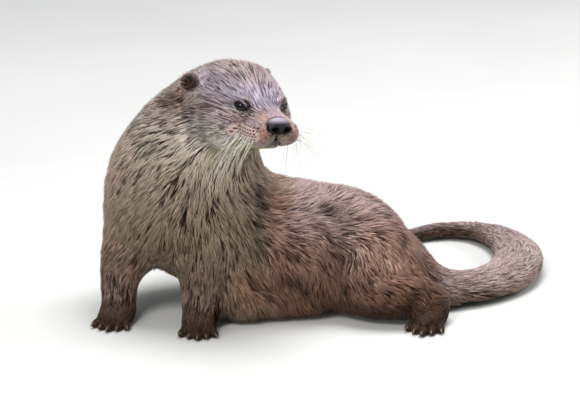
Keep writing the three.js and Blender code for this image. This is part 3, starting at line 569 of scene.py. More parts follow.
def refine(V, T, fine):
    """splits the edges of the triangles marked fine; neighbours are split to match"""
    E = np.sort(np.concatenate([T[:, [0, 1]], T[:, [1, 2]], T[:, [2, 0]]]), axis=1)
    key = E[:, 0].astype(np.int64) * (len(V) + 1) + E[:, 1]
    uk, inv = np.unique(key, return_inverse=True)
    inv = inv.ravel()
    nT = len(T)
    mark = np.zeros(len(uk), bool)
    for k in range(3):
        mark[inv[k * nT : (k + 1) * nT][fine]] = True
    new = np.full(len(uk), -1)
    new[mark] = len(V) + np.arange(mark.sum())
    ua, ub = uk // (len(V) + 1), uk % (len(V) + 1)
    V2 = np.concatenate([V, (V[ua[mark]] + V[ub[mark]]) / 2])
    m = np.stack([new[inv[k * nT : (k + 1) * nT]] for k in range(3)], 1)
    n = (m >= 0).sum(1)
    out = [T[n == 0]]
    t, c = T[n == 3], m[n == 3]
    out += [np.stack([t[:, 0], c[:, 0], c[:, 2]], 1), np.stack([c[:, 0], t[:, 1], c[:, 1]], 1), np.stack([c[:, 2], c[:, 1], t[:, 2]], 1), c]
    for k in range(3):
        s = (n == 1) & (m[:, k] >= 0)
        t, c = T[s], m[s]
        a, b, o = t[:, k], t[:, (k + 1) % 3], t[:, (k + 2) % 3]
        out += [np.stack([a, c[:, k], o], 1), np.stack([c[:, k], b, o], 1)]
        s = (n == 2) & (m[:, k] < 0)
        t, c = T[s], m[s]
        a, b, o = t[:, k], t[:, (k + 1) % 3], t[:, (k + 2) % 3]
        mb, ma = c[:, (k + 1) % 3], c[:, (k + 2) % 3]
        out += [np.stack([a, b, mb], 1), np.stack([a, mb, ma], 1), np.stack([ma, mb, o], 1)]
    return V2, np.concatenate(out)


def vertex_normals(V, T):
    n = np.cross(V[T[:, 1]] - V[T[:, 0]], V[T[:, 2]] - V[T[:, 0]])
    N = np.zeros_like(V, dtype=float)
    for c in range(3):
        for k in range(3):
            N[:, k] += np.bincount(T[:, c], n[:, k], len(V))
    return N / (np.linalg.norm(N, axis=1)[:, None] + 1e-12)


def log(*a):
    print("[otter %.1fs]" % (time.time() - T0), *a, flush=True)


H0 = 3.2
V, T = nets(skin_fn, (-200, -50, -8), (280, 345, 275), H0)
V = settle(skin_fn, V, H0, 2)
log("skin", len(V), len(T))


def tri_mask(fn):
    c = (V[T[:, 0]] + V[T[:, 1]] + V[T[:, 2]]) / 3
    return fn(c.astype(F))


def near_head(c, q0, extra=0):
    q = in_head(c)
    return (q[:, 0] > q0) & (q[:, 0] < 12) & (np.abs(q[:, 1]) < 62) & (q[:, 2] > -42) & (q[:, 2] < 55)


def near_paw(c):
    return (c[:, 2] < 17) & ((c[:, 1] < 56) & ((c[:, 0] < -55) | (c[:, 0] > 95)) | (c[:, 1] > 190) & (c[:, 0] < 160) & (c[:, 0] > 95) & (c[:, 1] < 262))


def near_ear(c):
    q = in_head(c)
    q[:, 1] = np.abs(q[:, 1])
    return np.sqrt(((q - np.array(EAR_AT, q.dtype)) ** 2).sum(1)) < 17


V, T = refine(V, T, tri_mask(lambda c: near_head(c, -70) | near_paw(c) | near_ear(c)))
V = settle(skin_fn, V, H0 / 2, 2)
V, T = refine(V, T, tri_mask(lambda c: near_head(c, -48)))
V = settle(skin_fn, V, H0 / 4, 2)

def near_eye(c):
    e = eye_frame(in_head(c))
    return np.sqrt((e**2).sum(1)) < 11

V, T = refine(V, T, tri_mask(near_eye))
V = settle(skin_fn, V, H0 / 8, 2, 0.15)
V = V.astype(float)
V[:, 2] = np.maximum(V[:, 2], 0.15)
# keep the one big shell
par = np.arange(len(V))
for _ in range(60):
    lab = np.minimum.reduce([par[T[:, 0]], par[T[:, 1]], par[T[:, 2]]])
    new = par.copy()
    for c in range(3):
        np.minimum.at(new, T[:, c], lab)
    new = new[new]
    if (new == par).all():
        break
    par = new
big = np.bincount(par).argmax()
T = T[par[T[:, 0]] == big]
used = np.unique(T)
remap = np.full(len(V), -1)
remap[used] = np.arange(len(used))
V, T = V[used], remap[T]
N = vertex_normals(V, T)
log("refined", len(V), len(T))

# ------------------------------------------------------------------ smooth noise
_perm = np.random.default_rng(3).random((64, 64, 64)).astype(F)


def noise(p, scale, seed=0):
    """smooth value noise in 0..1"""
    g = p.astype(F) / F(scale) + F(17.3 * seed + 101.7)
    i = np.floor(g).astype(int)
    f = g - i
    f = f * f * (3 - 2 * f)
    out = 0
    for c in range(8):
        o = np.array([c & 1, (c >> 1) & 1, (c >> 2) & 1])
        w = np.prod(np.where(o, f, 1 - f), axis=1)
        j = (i + o) & 63
        out = out + w * _perm[j[:, 0], j[:, 1], j[:, 2]]
    return out


# ------------------------------------------------------------------ fields on the skin
def fields(p):
    """lie of the coat and what it is like, at points of the skin"""
    p32 = p.astype(F)
    D, q = parts_of(p32)
    dT, sT, rT = cTRUNK.walk(p32, True)
    dL, sL, rL = cTAIL.walk(p32, True)
    down = np.array([0, 0, -1.0])
    dirs = []
    # head: streams back from the nose, round the eyes
    v = q - np.array([6, 0, 0], F)
    v = v + np.array([-10, 0, 0], F)
    v[:, 2] *= 0.55
    v[:, 1] *= 0.8
    cheek = np.clip((-q[:, 2] - 2) / 14, 0, 1) * np.clip((-q[:, 0] - 20) / 30, 0, 1)
    v[:, 2] -= 14 * cheek
    v[:, 0] -= 10
    dirs.append(v.astype(float) @ RH)
    tt = cTRUNK.T[sT]
    hang = np.interp(rT, [0, 60, 150, 230, 300, 420], [0.25, 0.4, 0.6, 0.5, 0.45, 0.3])
    low_ = np.clip((100 - p[:, 2]) / 55, 0, 1) * np.clip((rT - 190) / 40, 0, 1)
    by_head = np.clip((q[:, 0] + 200) / 60, 0, 1) * np.clip((q[:, 0] + 200) / 60, 0, 1)
    dirs.append(tt + down * (hang + 0.55 * low_)[:, None] - 0.9 * by_head[:, None] * RH[0][None])
    dirs.append(cTAIL.T[sL] + down * 0.12)
    for k in ("fore_right", "fore_left", "hind_left", "hind_right"):
        d, s, r = cLIMB[k].walk(p32, True)
        tl = cLIMB[k].T[s]
        f, _ = paw_axes(PAW[k])
        low = np.clip((24 - p[:, 2]) / 14, 0, 1)[:, None]
        if k[0] == "h":
            tl = tl * 0.6 + down * 0.5 + np.array([0.5, 0, 0])
        dirs.append(tl * (1 - low) + (f + down * 0.25) * low)
    for s in (1, -1):
        a = ear_axes(q, s).astype(float)
        w = a[:, :1] * EART + (a[:, 1:2] + 3) * EARB - 1.5 * EARN
        w = w * np.array([1, s, 1])
        dirs.append(w @ RH)
    W = np.exp(-(D - D.min(0)) / 9.0).astype(float)
    W[7:] *= 2
    w = sum(wi[:, None] * (di / (np.linalg.norm(di, axis=1)[:, None] + 1e-9)) for wi, di in zip(W, dirs))
    Wn = W / W.sum(0)
    return w, Wn, q, D, rT, rL


log("fields")
vdir, vW, vq, vD, vrT, vrL = fields(V)


# ------------------------------------------------------------------ markings, painted sheen and shade (linear colours)
def srgb(r, g, b):
    c = np.array([r, g, b], float) / 255
    return np.where(c <= 0.04045, c / 12.92, ((c + 0.055) / 1.055) ** 2.4)


def smooth(x, a, b):
    t = np.clip((x - a) / (b - a), 0, 1)
    return t * t * (3 - 2 * t)


def mixc(c, m, d):
    m = np.clip(m, 0, 1)[:, None]
    return c * (1 - m) + d * m


# whisker follicles: rows on each pad (forward, up in the head's axes)
FOLL = []
for row in range(6):
    for col in range(11):
        f = 0.4 - col * 3.3 - (row % 2) * 1.6
        u = 0.2 - row * 2.9 + 0.05 * (col - 4) * (2 - row)
        if ((f + 17) / 18.0) ** 2 + ((u + 7.2) / 9.2) ** 2 < 1.0:
            FOLL.append((f, u))
FOLL = np.array(FOLL)


def markings_and_painted_light(p, W, q, rT, Nn):
    """light and dark colour of the coat at each point, painted sheen and shade included"""
    z = p[:, 2]
    n1, n2 = noise(p, 34, 1), noise(p, 13, 2)
    up = np.clip(Nn[:, 2], 0, 1)
    light = np.tile(srgb(176, 144, 128), (len(p), 1))
    dark = np.tile(srgb(66, 42, 33), (len(p), 1))
    # the back: painted sheen, the upward-facing coat greyer and paler at the tips where the light from above falls
    # on it
    back = smooth(up, 0.25, 0.9) * W[1] * smooth(rT, 190, 250)
    light = mixc(light, back, srgb(206, 186, 184))
    dark = mixc(dark, back, srgb(110, 84, 78))
    # low flank and belly: dark, reddish
    belly = W[1] * smooth(rT, 210, 250) * (1 - smooth(z, 26, 74))
    light = mixc(light, belly * 0.8, srgb(138, 104, 86))
    dark = mixc(dark, belly * 0.8, srgb(50, 31, 24))
    # haunches
    hq = np.clip(W[5] + W[6], 0, 1)
    light = mixc(light, hq, srgb(140, 106, 88))
    dark = mixc(dark, hq, srgb(48, 31, 24))
    light = mixc(light, hq * smooth(z, 26, 70), srgb(200, 164, 148))
    dark = mixc(dark, hq * smooth(z, 26, 70), srgb(78, 52, 44))
    # painted highlight: the top of the near thigh paler where it catches the light
    lit = np.exp(-(((p[:, 0] - 70) / 24) ** 2 + ((p[:, 1] - 50) / 30) ** 2 + ((z - 84) / 22) ** 2))
    light = mixc(light, lit * 0.7, srgb(222, 190, 176))
    dark = mixc(dark, lit * 0.4, srgb(104, 76, 68))
    # tail
    light = mixc(light, W[2], srgb(164, 140, 132))
    dark = mixc(dark, W[2], srgb(74, 54, 48))
    # painted sheen: the upper side of the tail paler where the light from above falls
    tt = W[2] * smooth(up, 0.2, 0.85)
    light = mixc(light, tt, srgb(200, 182, 180))
    dark = mixc(dark, tt, srgb(118, 96, 92))
    # painted shade on the side of the tail's far part that faces into its loop
    tail_loop_shade = W[2] * smooth(p[:, 1], 235, 265) * smooth(-Nn[:, 1], -0.1, 0.7)
    light = mixc(light, tail_loop_shade, srgb(104, 80, 70))
    dark = mixc(dark, tail_loop_shade, srgb(42, 28, 24))
    # neck and chest: brown with pale tips at the sides, pale grey in front
    front = -(p[:, 1] - 100) / 60 - np.abs(p[:, 0] + 98) / 240
    nearside = 1 - smooth(p[:, 1], 72, 100)
    nk = W[1] * ((1 - nearside) * (1 - smooth(rT, 175, 240)) + nearside * (1 - smooth(p[:, 0] + 0.08 * z, -22, -10)))
    light = mixc(light, nk, srgb(192, 177, 162))
    dark = mixc(dark, nk, srgb(50, 37, 30))
    upn = nk * smooth(z, 165, 195)
    light = mixc(light, upn, srgb(206, 194, 186))
    dark = mixc(dark, upn, srgb(34, 23, 20))
    thr = nk * smooth(z, 122, 182) * smooth(front, -0.3, 0.5) * (1 - smooth(z, 178, 205))
    light = mixc(light, thr, srgb(204, 198, 182))
    dark = mixc(dark, thr, srgb(38, 30, 24))
    away = nk * smooth(p[:, 1], 105, 150)
    light = mixc(light, away, srgb(178, 150, 136))
    dark = mixc(dark, away, srgb(66, 46, 38))
    # the far and the near edge of the neck are browner
    side = nk * smooth(-p[:, 0], 140, 172) + nk * smooth(p[:, 0], -52, -28) * (1 - smooth(z, 120, 165))
    light = mixc(light, side * 0.75, srgb(206, 186, 174))
    dark = mixc(dark, side * 0.8, srgb(70, 50, 42))
    be = np.exp(-(((q[:, 0] + 124) / 15) ** 2 + ((np.abs(q[:, 1]) - 51) / 12) ** 2 + ((q[:, 2] - 4) / 12) ** 2))
    be = np.clip(be * 1.7, 0, 1)
    light = mixc(light, be * 0.85, srgb(112, 84, 72))
    dark = mixc(dark, be * 0.9, srgb(40, 25, 21))
    # low on the chest: darker, and olive, the olive a painted reflection of green light from below
    lowc = nk * (1 - smooth(z, 86, 156))
    light = mixc(light, lowc * 0.85, srgb(152, 139, 112))
    dark = mixc(dark, lowc * 0.85, srgb(42, 32, 23))
    # the elbow and its roll, reddish
    roll = np.exp(-(((p[:, 0] + 34) / 26) ** 2 + ((p[:, 1] - 34) / 26) ** 2 + ((p[:, 2] - 34) / 24) ** 2))
    light = mixc(light, roll * 0.9, srgb(192, 150, 128))
    dark = mixc(dark, roll * 0.7, srgb(70, 40, 30))
    # forelegs
    fl = np.clip(W[3] + W[4], 0, 1) * (1 - smooth(z, 66, 112))
    light = mixc(light, fl, srgb(154, 132, 118))
    dark = mixc(dark, fl, srgb(42, 29, 23))
    # paws
    low = np.clip(W[3:7].sum(0), 0, 1) * (1 - smooth(z, 10, 30))
    light = mixc(light, low, srgb(104, 80, 66))
    dark = mixc(dark, low, srgb(44, 30, 24))
    # head
    hd = np.clip(W[0] + W[7] + W[8], 0, 1)
    f, l, u = q[:, 0], np.abs(q[:, 1]), q[:, 2]
    hl = np.tile(srgb(228, 212, 216), (len(p), 1))
    hdk = np.tile(srgb(76, 56, 58), (len(p), 1))
    # forehead and crown: mauve grey, a painted sheen of the light from above on the top of the head; browner in the
    # middle behind the eyes
    crown = smooth(u, 8, 22) * smooth(-f, 14, 30)
    hl = mixc(hl, crown, srgb(213, 208, 226))
    hdk = mixc(hdk, crown, srgb(112, 102, 116))
    mid = crown * np.exp(-((l / 16) ** 2)) * smooth(-f, 44, 64) * (1 - smooth(-f, 92, 112))
    hl = mixc(hl, mid * 0.6, srgb(200, 180, 180))
    hdk = mixc(hdk, mid * 0.6, srgb(122, 96, 92))
    nape = smooth(-f, 106, 134) * smooth(u, 0, 20)
    hl = mixc(hl, nape, srgb(186, 166, 166))
    hdk = mixc(hdk, nape, srgb(84, 64, 62))
    # cheek and throat side
    cheek = smooth(-u, -4, 14) * smooth(-f, 34, 46)
    hl = mixc(hl, cheek, srgb(255, 253, 250))
    hdk = mixc(hdk, cheek, srgb(76, 54, 50))
    temple = np.exp(-(((f + 58) / 13) ** 2 + ((u - 19) / 6.5) ** 2)) * smooth(l, 24, 32)
    hl = mixc(hl, temple * 0.7, srgb(172, 156, 162))
    hdk = mixc(hdk, temple * 0.7, srgb(62, 46, 48))
    pale = np.clip(1.3 * np.exp(-(((f + 52) / 16) ** 2 + ((u + 24) / 11) ** 2)), 0, 1)
    hl = mixc(hl, pale * 0.9, srgb(250, 250, 240))
    hdk = mixc(hdk, pale * 0.85, srgb(192, 186, 172))
    under_ear = np.exp(-(((f + 84) / 11) ** 2 + ((u - 11) / 8) ** 2)) * smooth(l, 30, 38)
    hl = mixc(hl, under_ear * 0.9, srgb(248, 240, 228))
    hdk = mixc(hdk, under_ear * 0.8, srgb(158, 140, 126))
    behind_ear = np.exp(-(((f + 116) / 12) ** 2 + ((u - 8) / 18) ** 2)) * smooth(l, 22, 36)
    hl = mixc(hl, behind_ear * 0.9, srgb(122, 96, 84))
    hdk = mixc(hdk, behind_ear * 0.9, srgb(46, 29, 24))
    chin = smooth(-u, 16, 21) * smooth(l, 36, 24)
    def blob(at, r):
        return np.exp(-(((f - at[0]) / r[0]) ** 2 + ((l - at[1]) / r[1]) ** 2 + ((u - at[2]) / r[2]) ** 2))

    def stroke(path, r):
        return np.exp(-((line_distance(np.stack([f, l, u], 1), path) / r) ** 2))

    # mauve between the eye and the whisker pad
    mv = blob((-29, 28, 3.0), (10, 8, 5.0))
    hl = mixc(hl, mv, srgb(196, 166, 170))
    hdk = mixc(hdk, mv, srgb(112, 76, 76))
    # buff orange above the nostril, reddish beside it
    buff = np.clip(1.25 * blob((-13.5, 12.5, 8.6), (8.5, 5.5, 4.4)), 0, 1)
    hl = mixc(hl, buff * 0.9, srgb(234, 208, 196))
    hdk = mixc(hdk, buff * 0.85, srgb(176, 134, 116))
    rust = np.clip(1.3 * blob((-2.6, 17.5, -5.0), (6.0, 5.0, 8.0)), 0, 1)
    hl = mixc(hl, rust * 0.9, srgb(226, 186, 168))
    hdk = mixc(hdk, rust * 0.9, srgb(146, 98, 78))
    padm = (1 - smooth(((f + 20) / 17.5) ** 2 + ((u + 8) / 9.8) ** 2, 0.8, 1.2)) * smooth(l, 17, 21)
    hl = mixc(hl, padm * 0.95, srgb(252, 236, 230))
    hdk = mixc(hdk, padm * 0.95, srgb(222, 190, 180))
    # pale chin, tinted olive: a painted reflection of green light from below
    hl = mixc(hl, chin, srgb(214, 212, 172))
    hdk = mixc(hdk, chin, srgb(126, 118, 78))
    # pinkish lavender just above the nose pad
    tn_ = blob((-9, 0, 12.5), (5.5, 8.5, 4.0))
    hl = mixc(hl, tn_ * 0.8, srgb(222, 202, 216))
    hdk = mixc(hdk, tn_ * 0.8, srgb(166, 140, 150))
    # pale upper lip beside the cleft; painted shade in the cleft and along the crease of the mouth at the lips' edge
    lip = np.exp(-(((u + 10.5) / 4.2) ** 2)) * smooth(f, -12, -4) * (1 - smooth(l, 10, 13))
    hl = mixc(hl, lip * 0.85, srgb(206, 196, 164))
    hdk = mixc(hdk, lip * 0.85, srgb(138, 118, 88))
    pad_d = ell(np.stack([f, l, u], 1), PAD_AT, PAD_R)
    jaw_d = smin(ell(q, JAW_AT, JAW_R), ell(q, CHIN_AT, CHIN_R), 6)
    mouth = np.exp(-(((pad_d - jaw_d - 0.6) / 1.0) ** 2)) * (u < -7) * smooth(f, -40, -28)
    cleft = np.exp(-((l / 1.1) ** 2)) * (u < -4) * (u > -19) * (f > -12)
    mouth = np.clip(mouth + cleft, 0, 1)
    hl = mixc(hl, mouth * 0.85, srgb(80, 62, 36))
    hdk = mixc(hdk, mouth * 0.9, srgb(38, 27, 16))
    # eye: dark upper lid and inner corner, buff spot above, grey lower lid
    e = eye_frame(q)
    g = lid_gap(e)
    on = (e[:, 2] > -7)
    brow = np.clip(1.2 * stroke([(-39.5, 25.8, 25.8), (-34.5, 22.0, 25.0), (-31.0, 18.4, 23.0)], 2.1), 0, 1)
    hl = mixc(hl, brow * 0.9, srgb(226, 202, 188))
    hdk = mixc(hdk, brow * 0.85, srgb(180, 144, 128))
    patch = np.clip(1.35 * stroke([(-36, 25.6, 19.8), (-31.4, 22.4, 20.4), (-28.0, 19.6, 19.2), (-27.2, 19.8, 14.5), (-28, 21, 12.5)], 2.5), 0, 1)
    band = np.clip(1.3 * stroke([(-50, 35.2, 15.6), (-43.5, 32.9, 17.8), (-38, 29.2, 19.4), (-34, 25.4, 19.0)], 1.5), 0, 1)
    rim = (1 - smooth(g, 1.1, 1.7)) * on * (e[:, 1] > -3.0)
    dk_ = np.clip(np.maximum.reduce([rim, band * 0.9, patch]), 0, 1)
    hl = mixc(hl, dk_ * 0.92, srgb(84, 54, 46))
    hdk = mixc(hdk, dk_ * 0.96, srgb(36, 21, 18))
    lowlid = np.exp(-(((g - 1.42) / 0.2) ** 2)) * (e[:, 1] < -2) * (e[:, 0] < 7) * on
    hl = mixc(hl, lowlid * 0.75, srgb(200, 194, 192))
    hdk = mixc(hdk, lowlid * 0.75, srgb(128, 116, 112))
    # painted shade in the fold below the eye
    fold = np.exp(-(((e[:, 1] + 7.6 + 0.02 * e[:, 0] ** 2) / 1.0) ** 2)) * smooth(e[:, 0], -14, -8) * (1 - smooth(e[:, 0], 5, 10)) * on
    hl = mixc(hl, fold * 0.6, srgb(112, 92, 86))
    hdk = mixc(hdk, fold * 0.7, srgb(70, 52, 48))
    # painted shade: black inside the nostrils
    nh = np.stack([f, l, u], 1)
    nd_ = np.minimum(ell(nh, (1.4, 6.6, -0.9), (5.6, 4.6, 3.4)), ell(nh, (-1.0, 10.5, 0.0), (4.0, 4.2, 2.8)))
    nin = 1 - smooth(nd_, -0.4, 0.7)
    hl = mixc(hl, nin, srgb(24, 16, 15))
    hdk = mixc(hdk, nin, srgb(8, 5, 5))
    # follicles
    near = (f > -38) & (f < 3) & (u > -18) & (u < 5) & (l > 12)
    dot = np.zeros(len(p))
    idx = np.nonzero(near)[0]
    if len(idx):
        dd = np.sqrt(((np.stack([f[idx], u[idx]], 1)[:, None, :] - FOLL[None]) ** 2).sum(-1)).min(1)
        dot[idx] = (1 - smooth(dd, 0.85, 1.4)) * (1 - smooth(f[idx], -6, -2.5))
    hl = mixc(hl, dot * 0.92, srgb(92, 50, 44))
    hdk = mixc(hdk, dot * 0.97, srgb(48, 24, 22))
    # ears: painted shade in the hollow, pale rim
    for k, s in ((7, 1), (8, -1)):
        w = ear_axes(q, s)
        hole = np.sqrt(((w[:, 0] - 0.8) / 9.6) ** 2 + ((w[:, 1] + 1) / 8.2) ** 2)
        inside = (1 - smooth(hole, 0.66, 1.16)) * (w[:, 2] > -4) * (q[:, 1] * s > 30) * (np.abs(w[:, 2]) < 9)
        rimk = np.exp(-(((hole - 1.2) / 0.16) ** 2)) * (np.abs(w[:, 2]) < 9) * (q[:, 1] * s > 30)
        ed = smooth(W[k], 0.45, 0.95)
        hl = mixc(hl, ed * 0.8, srgb(182, 166, 166))
        hdk = mixc(hdk, ed * 0.8, srgb(84, 68, 68))
        hl = mixc(hl, rimk * 0.8, srgb(214, 200, 192))
        hdk = mixc(hdk, rimk * 0.7, srgb(116, 98, 92))
        hl = mixc(hl, inside, srgb(62, 42, 35))
        hdk = mixc(hdk, inside, srgb(16, 10, 8))
    light = light * (1 - hd)[:, None] + hl * hd[:, None]
    dark = dark * (1 - hd)[:, None] + hdk * hd[:, None]
    # painted shade darkens the folds; broad unevenness
    _, cr = creased(p.astype(F))
    k = (0.86 + 0.28 * (0.6 * n1 + 0.4 * n2)) * (1 - 0.72 * cr)
    return light * k[:, None], dark * k[:, None]


vlight, vdark = markings_and_painted_light(V, vW, vq, vrT, N)
log("markings_and_painted_light")


# ------------------------------------------------------------------ mesh objects
def make_mesh(name, V, T, cols=None, uv=None, smooth_=True):
    me = bpy.data.meshes.new(name)
    me.vertices.add(len(V))
    me.vertices.foreach_set("co", np.ascontiguousarray(to_part(V), dtype=F).ravel())
    me.loops.add(T.size)
    me.loops.foreach_set("vertex_index", np.ascontiguousarray(T, dtype=np.int32).ravel())
    me.polygons.add(len(T))
    me.polygons.foreach_set("loop_start", np.arange(len(T), dtype=np.int32) * T.shape[1])
    me.polygons.foreach_set("use_smooth", np.full(len(T), smooth_))
    me.update(calc_edges=True)
    for k, c in (cols or {}).items():
        at = me.attributes.new(k, "FLOAT_COLOR", "POINT")
        buf = np.ones((len(V), 4), F)
        buf[:, :3] = c
        at.data.foreach_set("color", buf.ravel())
    if uv is not None:
        l = me.uv_layers.new(name="OFBake")
        l.data.foreach_set("uv", np.ascontiguousarray(uv, dtype=F).ravel())
    ob = bpy.data.objects.new(name, me)
    bpy.context.scene.collection.objects.link(ob)
    return ob


def new_mat(name):
    m = bpy.data.materials.new(name)
    m.use_nodes = True
    nt = m.node_tree
    return m, nt, nt.nodes["Principled BSDF"]


def node(nt, kind, **kw):
    n = nt.nodes.new(kind)
    for k, v in kw.items():
        setattr(n, k, v)
    return n


def ramp(nt, fac, stops):
    r = node(nt, "ShaderNodeValToRGB")
    el = r.color_ramp.elements
    while len(el) < len(stops):
        el.new(0.5)
    for e, (pos, c) in zip(el, stops):
        e.position = pos
        e.color = (*c, 1) if len(c) == 3 else c
    nt.links.new(fac, r.inputs["Fac"])
    return r.outputs["Color"]


def mixrgb(nt, fac, a, b, kind="MIX"):
    m = node(nt, "ShaderNodeMix", data_type="RGBA", blend_type=kind)
    for s, v in ((m.inputs["Factor"], fac), (m.inputs[6], a), (m.inputs[7], b)):
        if isinstance(v, (int, float)):
            s.default_value = v
        elif isinstance(v, tuple):
            s.default_value = v if len(v) == 4 else (*v, 1)
        else:
            nt.links.new(v, s)
    return m.outputs[2]


def math_(nt, op, a, b=None, clamp=False):
    m = node(nt, "ShaderNodeMath", operation=op, use_clamp=clamp)
    for s, v in ((m.inputs[0], a), (m.inputs[1], b)):
        if v is None:
            continue
        if isinstance(v, (int, float)):
            s.default_value = v
        else:
            nt.links.new(v, s)
    return m.outputs[0]


def pos_noise(nt, scale, detail=2.0, rough=0.5):
    tc = node(nt, "ShaderNodeTexCoord")
    n = node(nt, "ShaderNodeTexNoise")
    n.inputs["Scale"].default_value = scale
    n.inputs["Detail"].default_value = detail
    n.inputs["Roughness"].default_value = rough
    nt.links.new(tc.outputs["Object"], n.inputs["Vector"])
    return n.outputs["Fac"]


# coat of hair: dark root to light tip, each tuft its own tone
def coat_material():
    m, nt, b = new_mat("coat_hair")
    li = node(nt, "ShaderNodeAttribute", attribute_name="light")
    dk = node(nt, "ShaderNodeAttribute", attribute_name="dark")
    tf = node(nt, "ShaderNodeAttribute", attribute_name="tuft")
    sep = node(nt, "ShaderNodeSeparateColor")
    nt.links.new(tf.outputs["Color"], sep.inputs[0])
    tone, along, warm = sep.outputs[0], sep.outputs[1], sep.outputs[2]
    v = pos_noise(nt, 300.0, 2.0)
    g = math_(nt, "MULTIPLY", along, 0.34)
    fac = math_(nt, "ADD", g, math_(nt, "SUBTRACT", math_(nt, "MULTIPLY", tone, 1.35), 0.37))
    fac = math_(nt, "ADD", fac, math_(nt, "MULTIPLY", math_(nt, "SUBTRACT", v, 0.5), 0.3), True)
    c = mixrgb(nt, fac, dk.outputs["Color"], li.outputs["Color"])
    # towards the root, where light does not reach
    c = mixrgb(nt, math_(nt, "SUBTRACT", 0.75, math_(nt, "MULTIPLY", along, 1.5), True), c, (0.012, 0.007, 0.005))
    c = mixrgb(nt, math_(nt, "MULTIPLY", warm, 0.3), c, mixrgb(nt, 1.0, c, (1.22, 0.92, 0.74), "MULTIPLY"))
    nt.links.new(c, b.inputs["Base Color"])
    b.inputs["Roughness"].default_value = 0.45
    b.inputs["Specular IOR Level"].default_value = 0.26
    return m


def skin_material():
    m, nt, b = new_mat("coat_under")
    li = node(nt, "ShaderNodeAttribute", attribute_name="light")
    dk = node(nt, "ShaderNodeAttribute", attribute_name="dark")
    n = pos_noise(nt, 420.0, 3.0, 0.6)
    fac = math_(nt, "MULTIPLY", math_(nt, "SUBTRACT", n, 0.38), 2.2, True)
    c = mixrgb(nt, fac, dk.outputs["Color"], li.outputs["Color"])
    c = mixrgb(nt, 1.0, c, (0.52, 0.50, 0.5), "MULTIPLY")
    nt.links.new(c, b.inputs["Base Color"])
    b.inputs["Roughness"].default_value = 0.6
    b.inputs["Specular IOR Level"].default_value = 0.15
    bump = node(nt, "ShaderNodeBump")
    bump.inputs["Strength"].default_value = 0.5
    bump.inputs["Distance"].default_value = 0.0006
    nt.links.new(n, bump.inputs["Height"])
    nt.links.new(bump.outputs["Normal"], b.inputs["Normal"])
    return m


COAT = coat_material()
UNDER = skin_material()
pieces = []
skin = make_mesh("skin", V, T, {"light": vlight, "dark": vdark})
skin.data.materials.append(UNDER)
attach(skin, "root")
FLESH = [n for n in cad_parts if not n.startswith("eye") and n != "nose"]
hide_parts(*FLESH)
log("skin object")

# ------------------------------------------------------------------ tufts
A = 0.5 * np.linalg.norm(np.cross(V[T[:, 1]] - V[T[:, 0]], V[T[:, 2]] - V[T[:, 0]]), axis=1)
cen = V[T].mean(1)
cW = vW[:, T].mean(2)
cq = vq[T].mean(1).astype(float)
crT = vrT[T].mean(1)


def lookfor(c, W, q, rT):
    """length, width of a tuft and how many stand on a square millimetre"""
    z = c[:, 2]
    one = np.ones(len(c))
    bodyL = np.interp(rT, [0, 60, 150, 260, 420], [14, 19, 21, 19, 15])
    f, l, u = q[:, 0], np.abs(q[:, 1]), q[:, 2]
    headL = np.interp(f, [-125, -100, -70, -45, -25, -5], [13, 10, 6.7, 4.8, 2.6, 1.7])
    cheek = smooth(-u, -6, 10) * smooth(-f, 36, 58)
    headL = headL + 4.0 * cheek
    padk = (1 - smooth(((f + 17) / 21.0) ** 2 + ((u + 7) / 12.0) ** 2, 0.75, 1.2)) * smooth(l, 8, 13)
    headL = headL * (1 - padk) + 1.25 * padk
    headw = np.interp(f, [-125, -90, -50, -20, -5], [0.78, 0.58, 0.44, 0.38, 0.36])
    headN = np.interp(f, [-125, -90, -50, -30, -18, -5], [1.0, 1.5, 2.2, 3.2, 4.0, 4.2])
    tailL = np.interp(c[:, 0], [60, 120, 200], [7, 10, 13])
    legL = np.interp(z, [4, 14, 30, 60, 90], [2.4, 4.0, 8.5, 13, 17])
    legw = np.interp(z, [4, 14, 30, 60], [0.5, 0.6, 0.8, 1.0])
    legN = np.interp(z, [4, 14, 30, 60], [1.9, 1.8, 1.2, 0.72])
    L = [headL, bodyL, tailL, legL, legL, legL, legL, one * 2.4, one * 2.4]
    w = [headw, one * 0.8, one * 0.8, legw * 0.85, legw * 0.85, legw * 0.85, legw * 0.85, one * 0.42, one * 0.42]
    n = [headN, one * 0.61, one * 0.9, legN, legN, legN, legN, one * 3.6, one * 3.6]
    mixw = lambda vs: sum(a * b for a, b in zip(W, vs))
    return mixw(L), mixw(w), mixw(n)


tL, tw, tn = lookfor(cen, cW, cq, crT)
# nothing grows on the eyelids' edge, under the nose pad, in the mouth or on the soles
e = eye_frame(cq.astype(F)).astype(float)
lid = (lid_gap(e) < 1.08) & (e[:, 2] > -1)
nosed = ell(cq, NOSE_AT, np.array(NOSE_R) + 0.3) < 0
cm = np.abs(cq) * [0, 1, 0] + cq * [1, 0, 1]
nosed = nosed | (ell(cm, (-2.4, 8.4, -1.6), (5.4, 5.6, 5.2)) < 0) | (ell(cm, (0.2, 10.5, 0.0), (4.5, 4.5, 3.6)) < 0)
tn = np.where(lid | nosed, 0, tn)
mouth_in = (np.abs(ell(np.abs(cq), PAD_AT, PAD_R) - smin(ell(cq, JAW_AT, JAW_R), ell(cq, CHIN_AT, CHIN_R), 6) - 0.6) < 0.5) & (cq[:, 2] < -7) & (cq[:, 0] > -34)
tn = np.where(mouth_in, tn * 0.3, tn)
for s_ in (1, -1):
    w_ = ear_axes(cq, s_)
    inn = (((w_[:, 0] - 0.8) / 9.0) ** 2 + ((w_[:, 1] + 1) / 7.6) ** 2 < 1) & (np.abs(w_[:, 2]) < 8) & (cq[:, 1] * s_ > 30)
    tn = np.where(inn, tn * 0.3, tn)
cN = np.cross(V[T[:, 1]] - V[T[:, 0]], V[T[:, 2]] - V[T[:, 0]])
cN /= np.linalg.norm(cN, axis=1)[:, None] + 1e-12
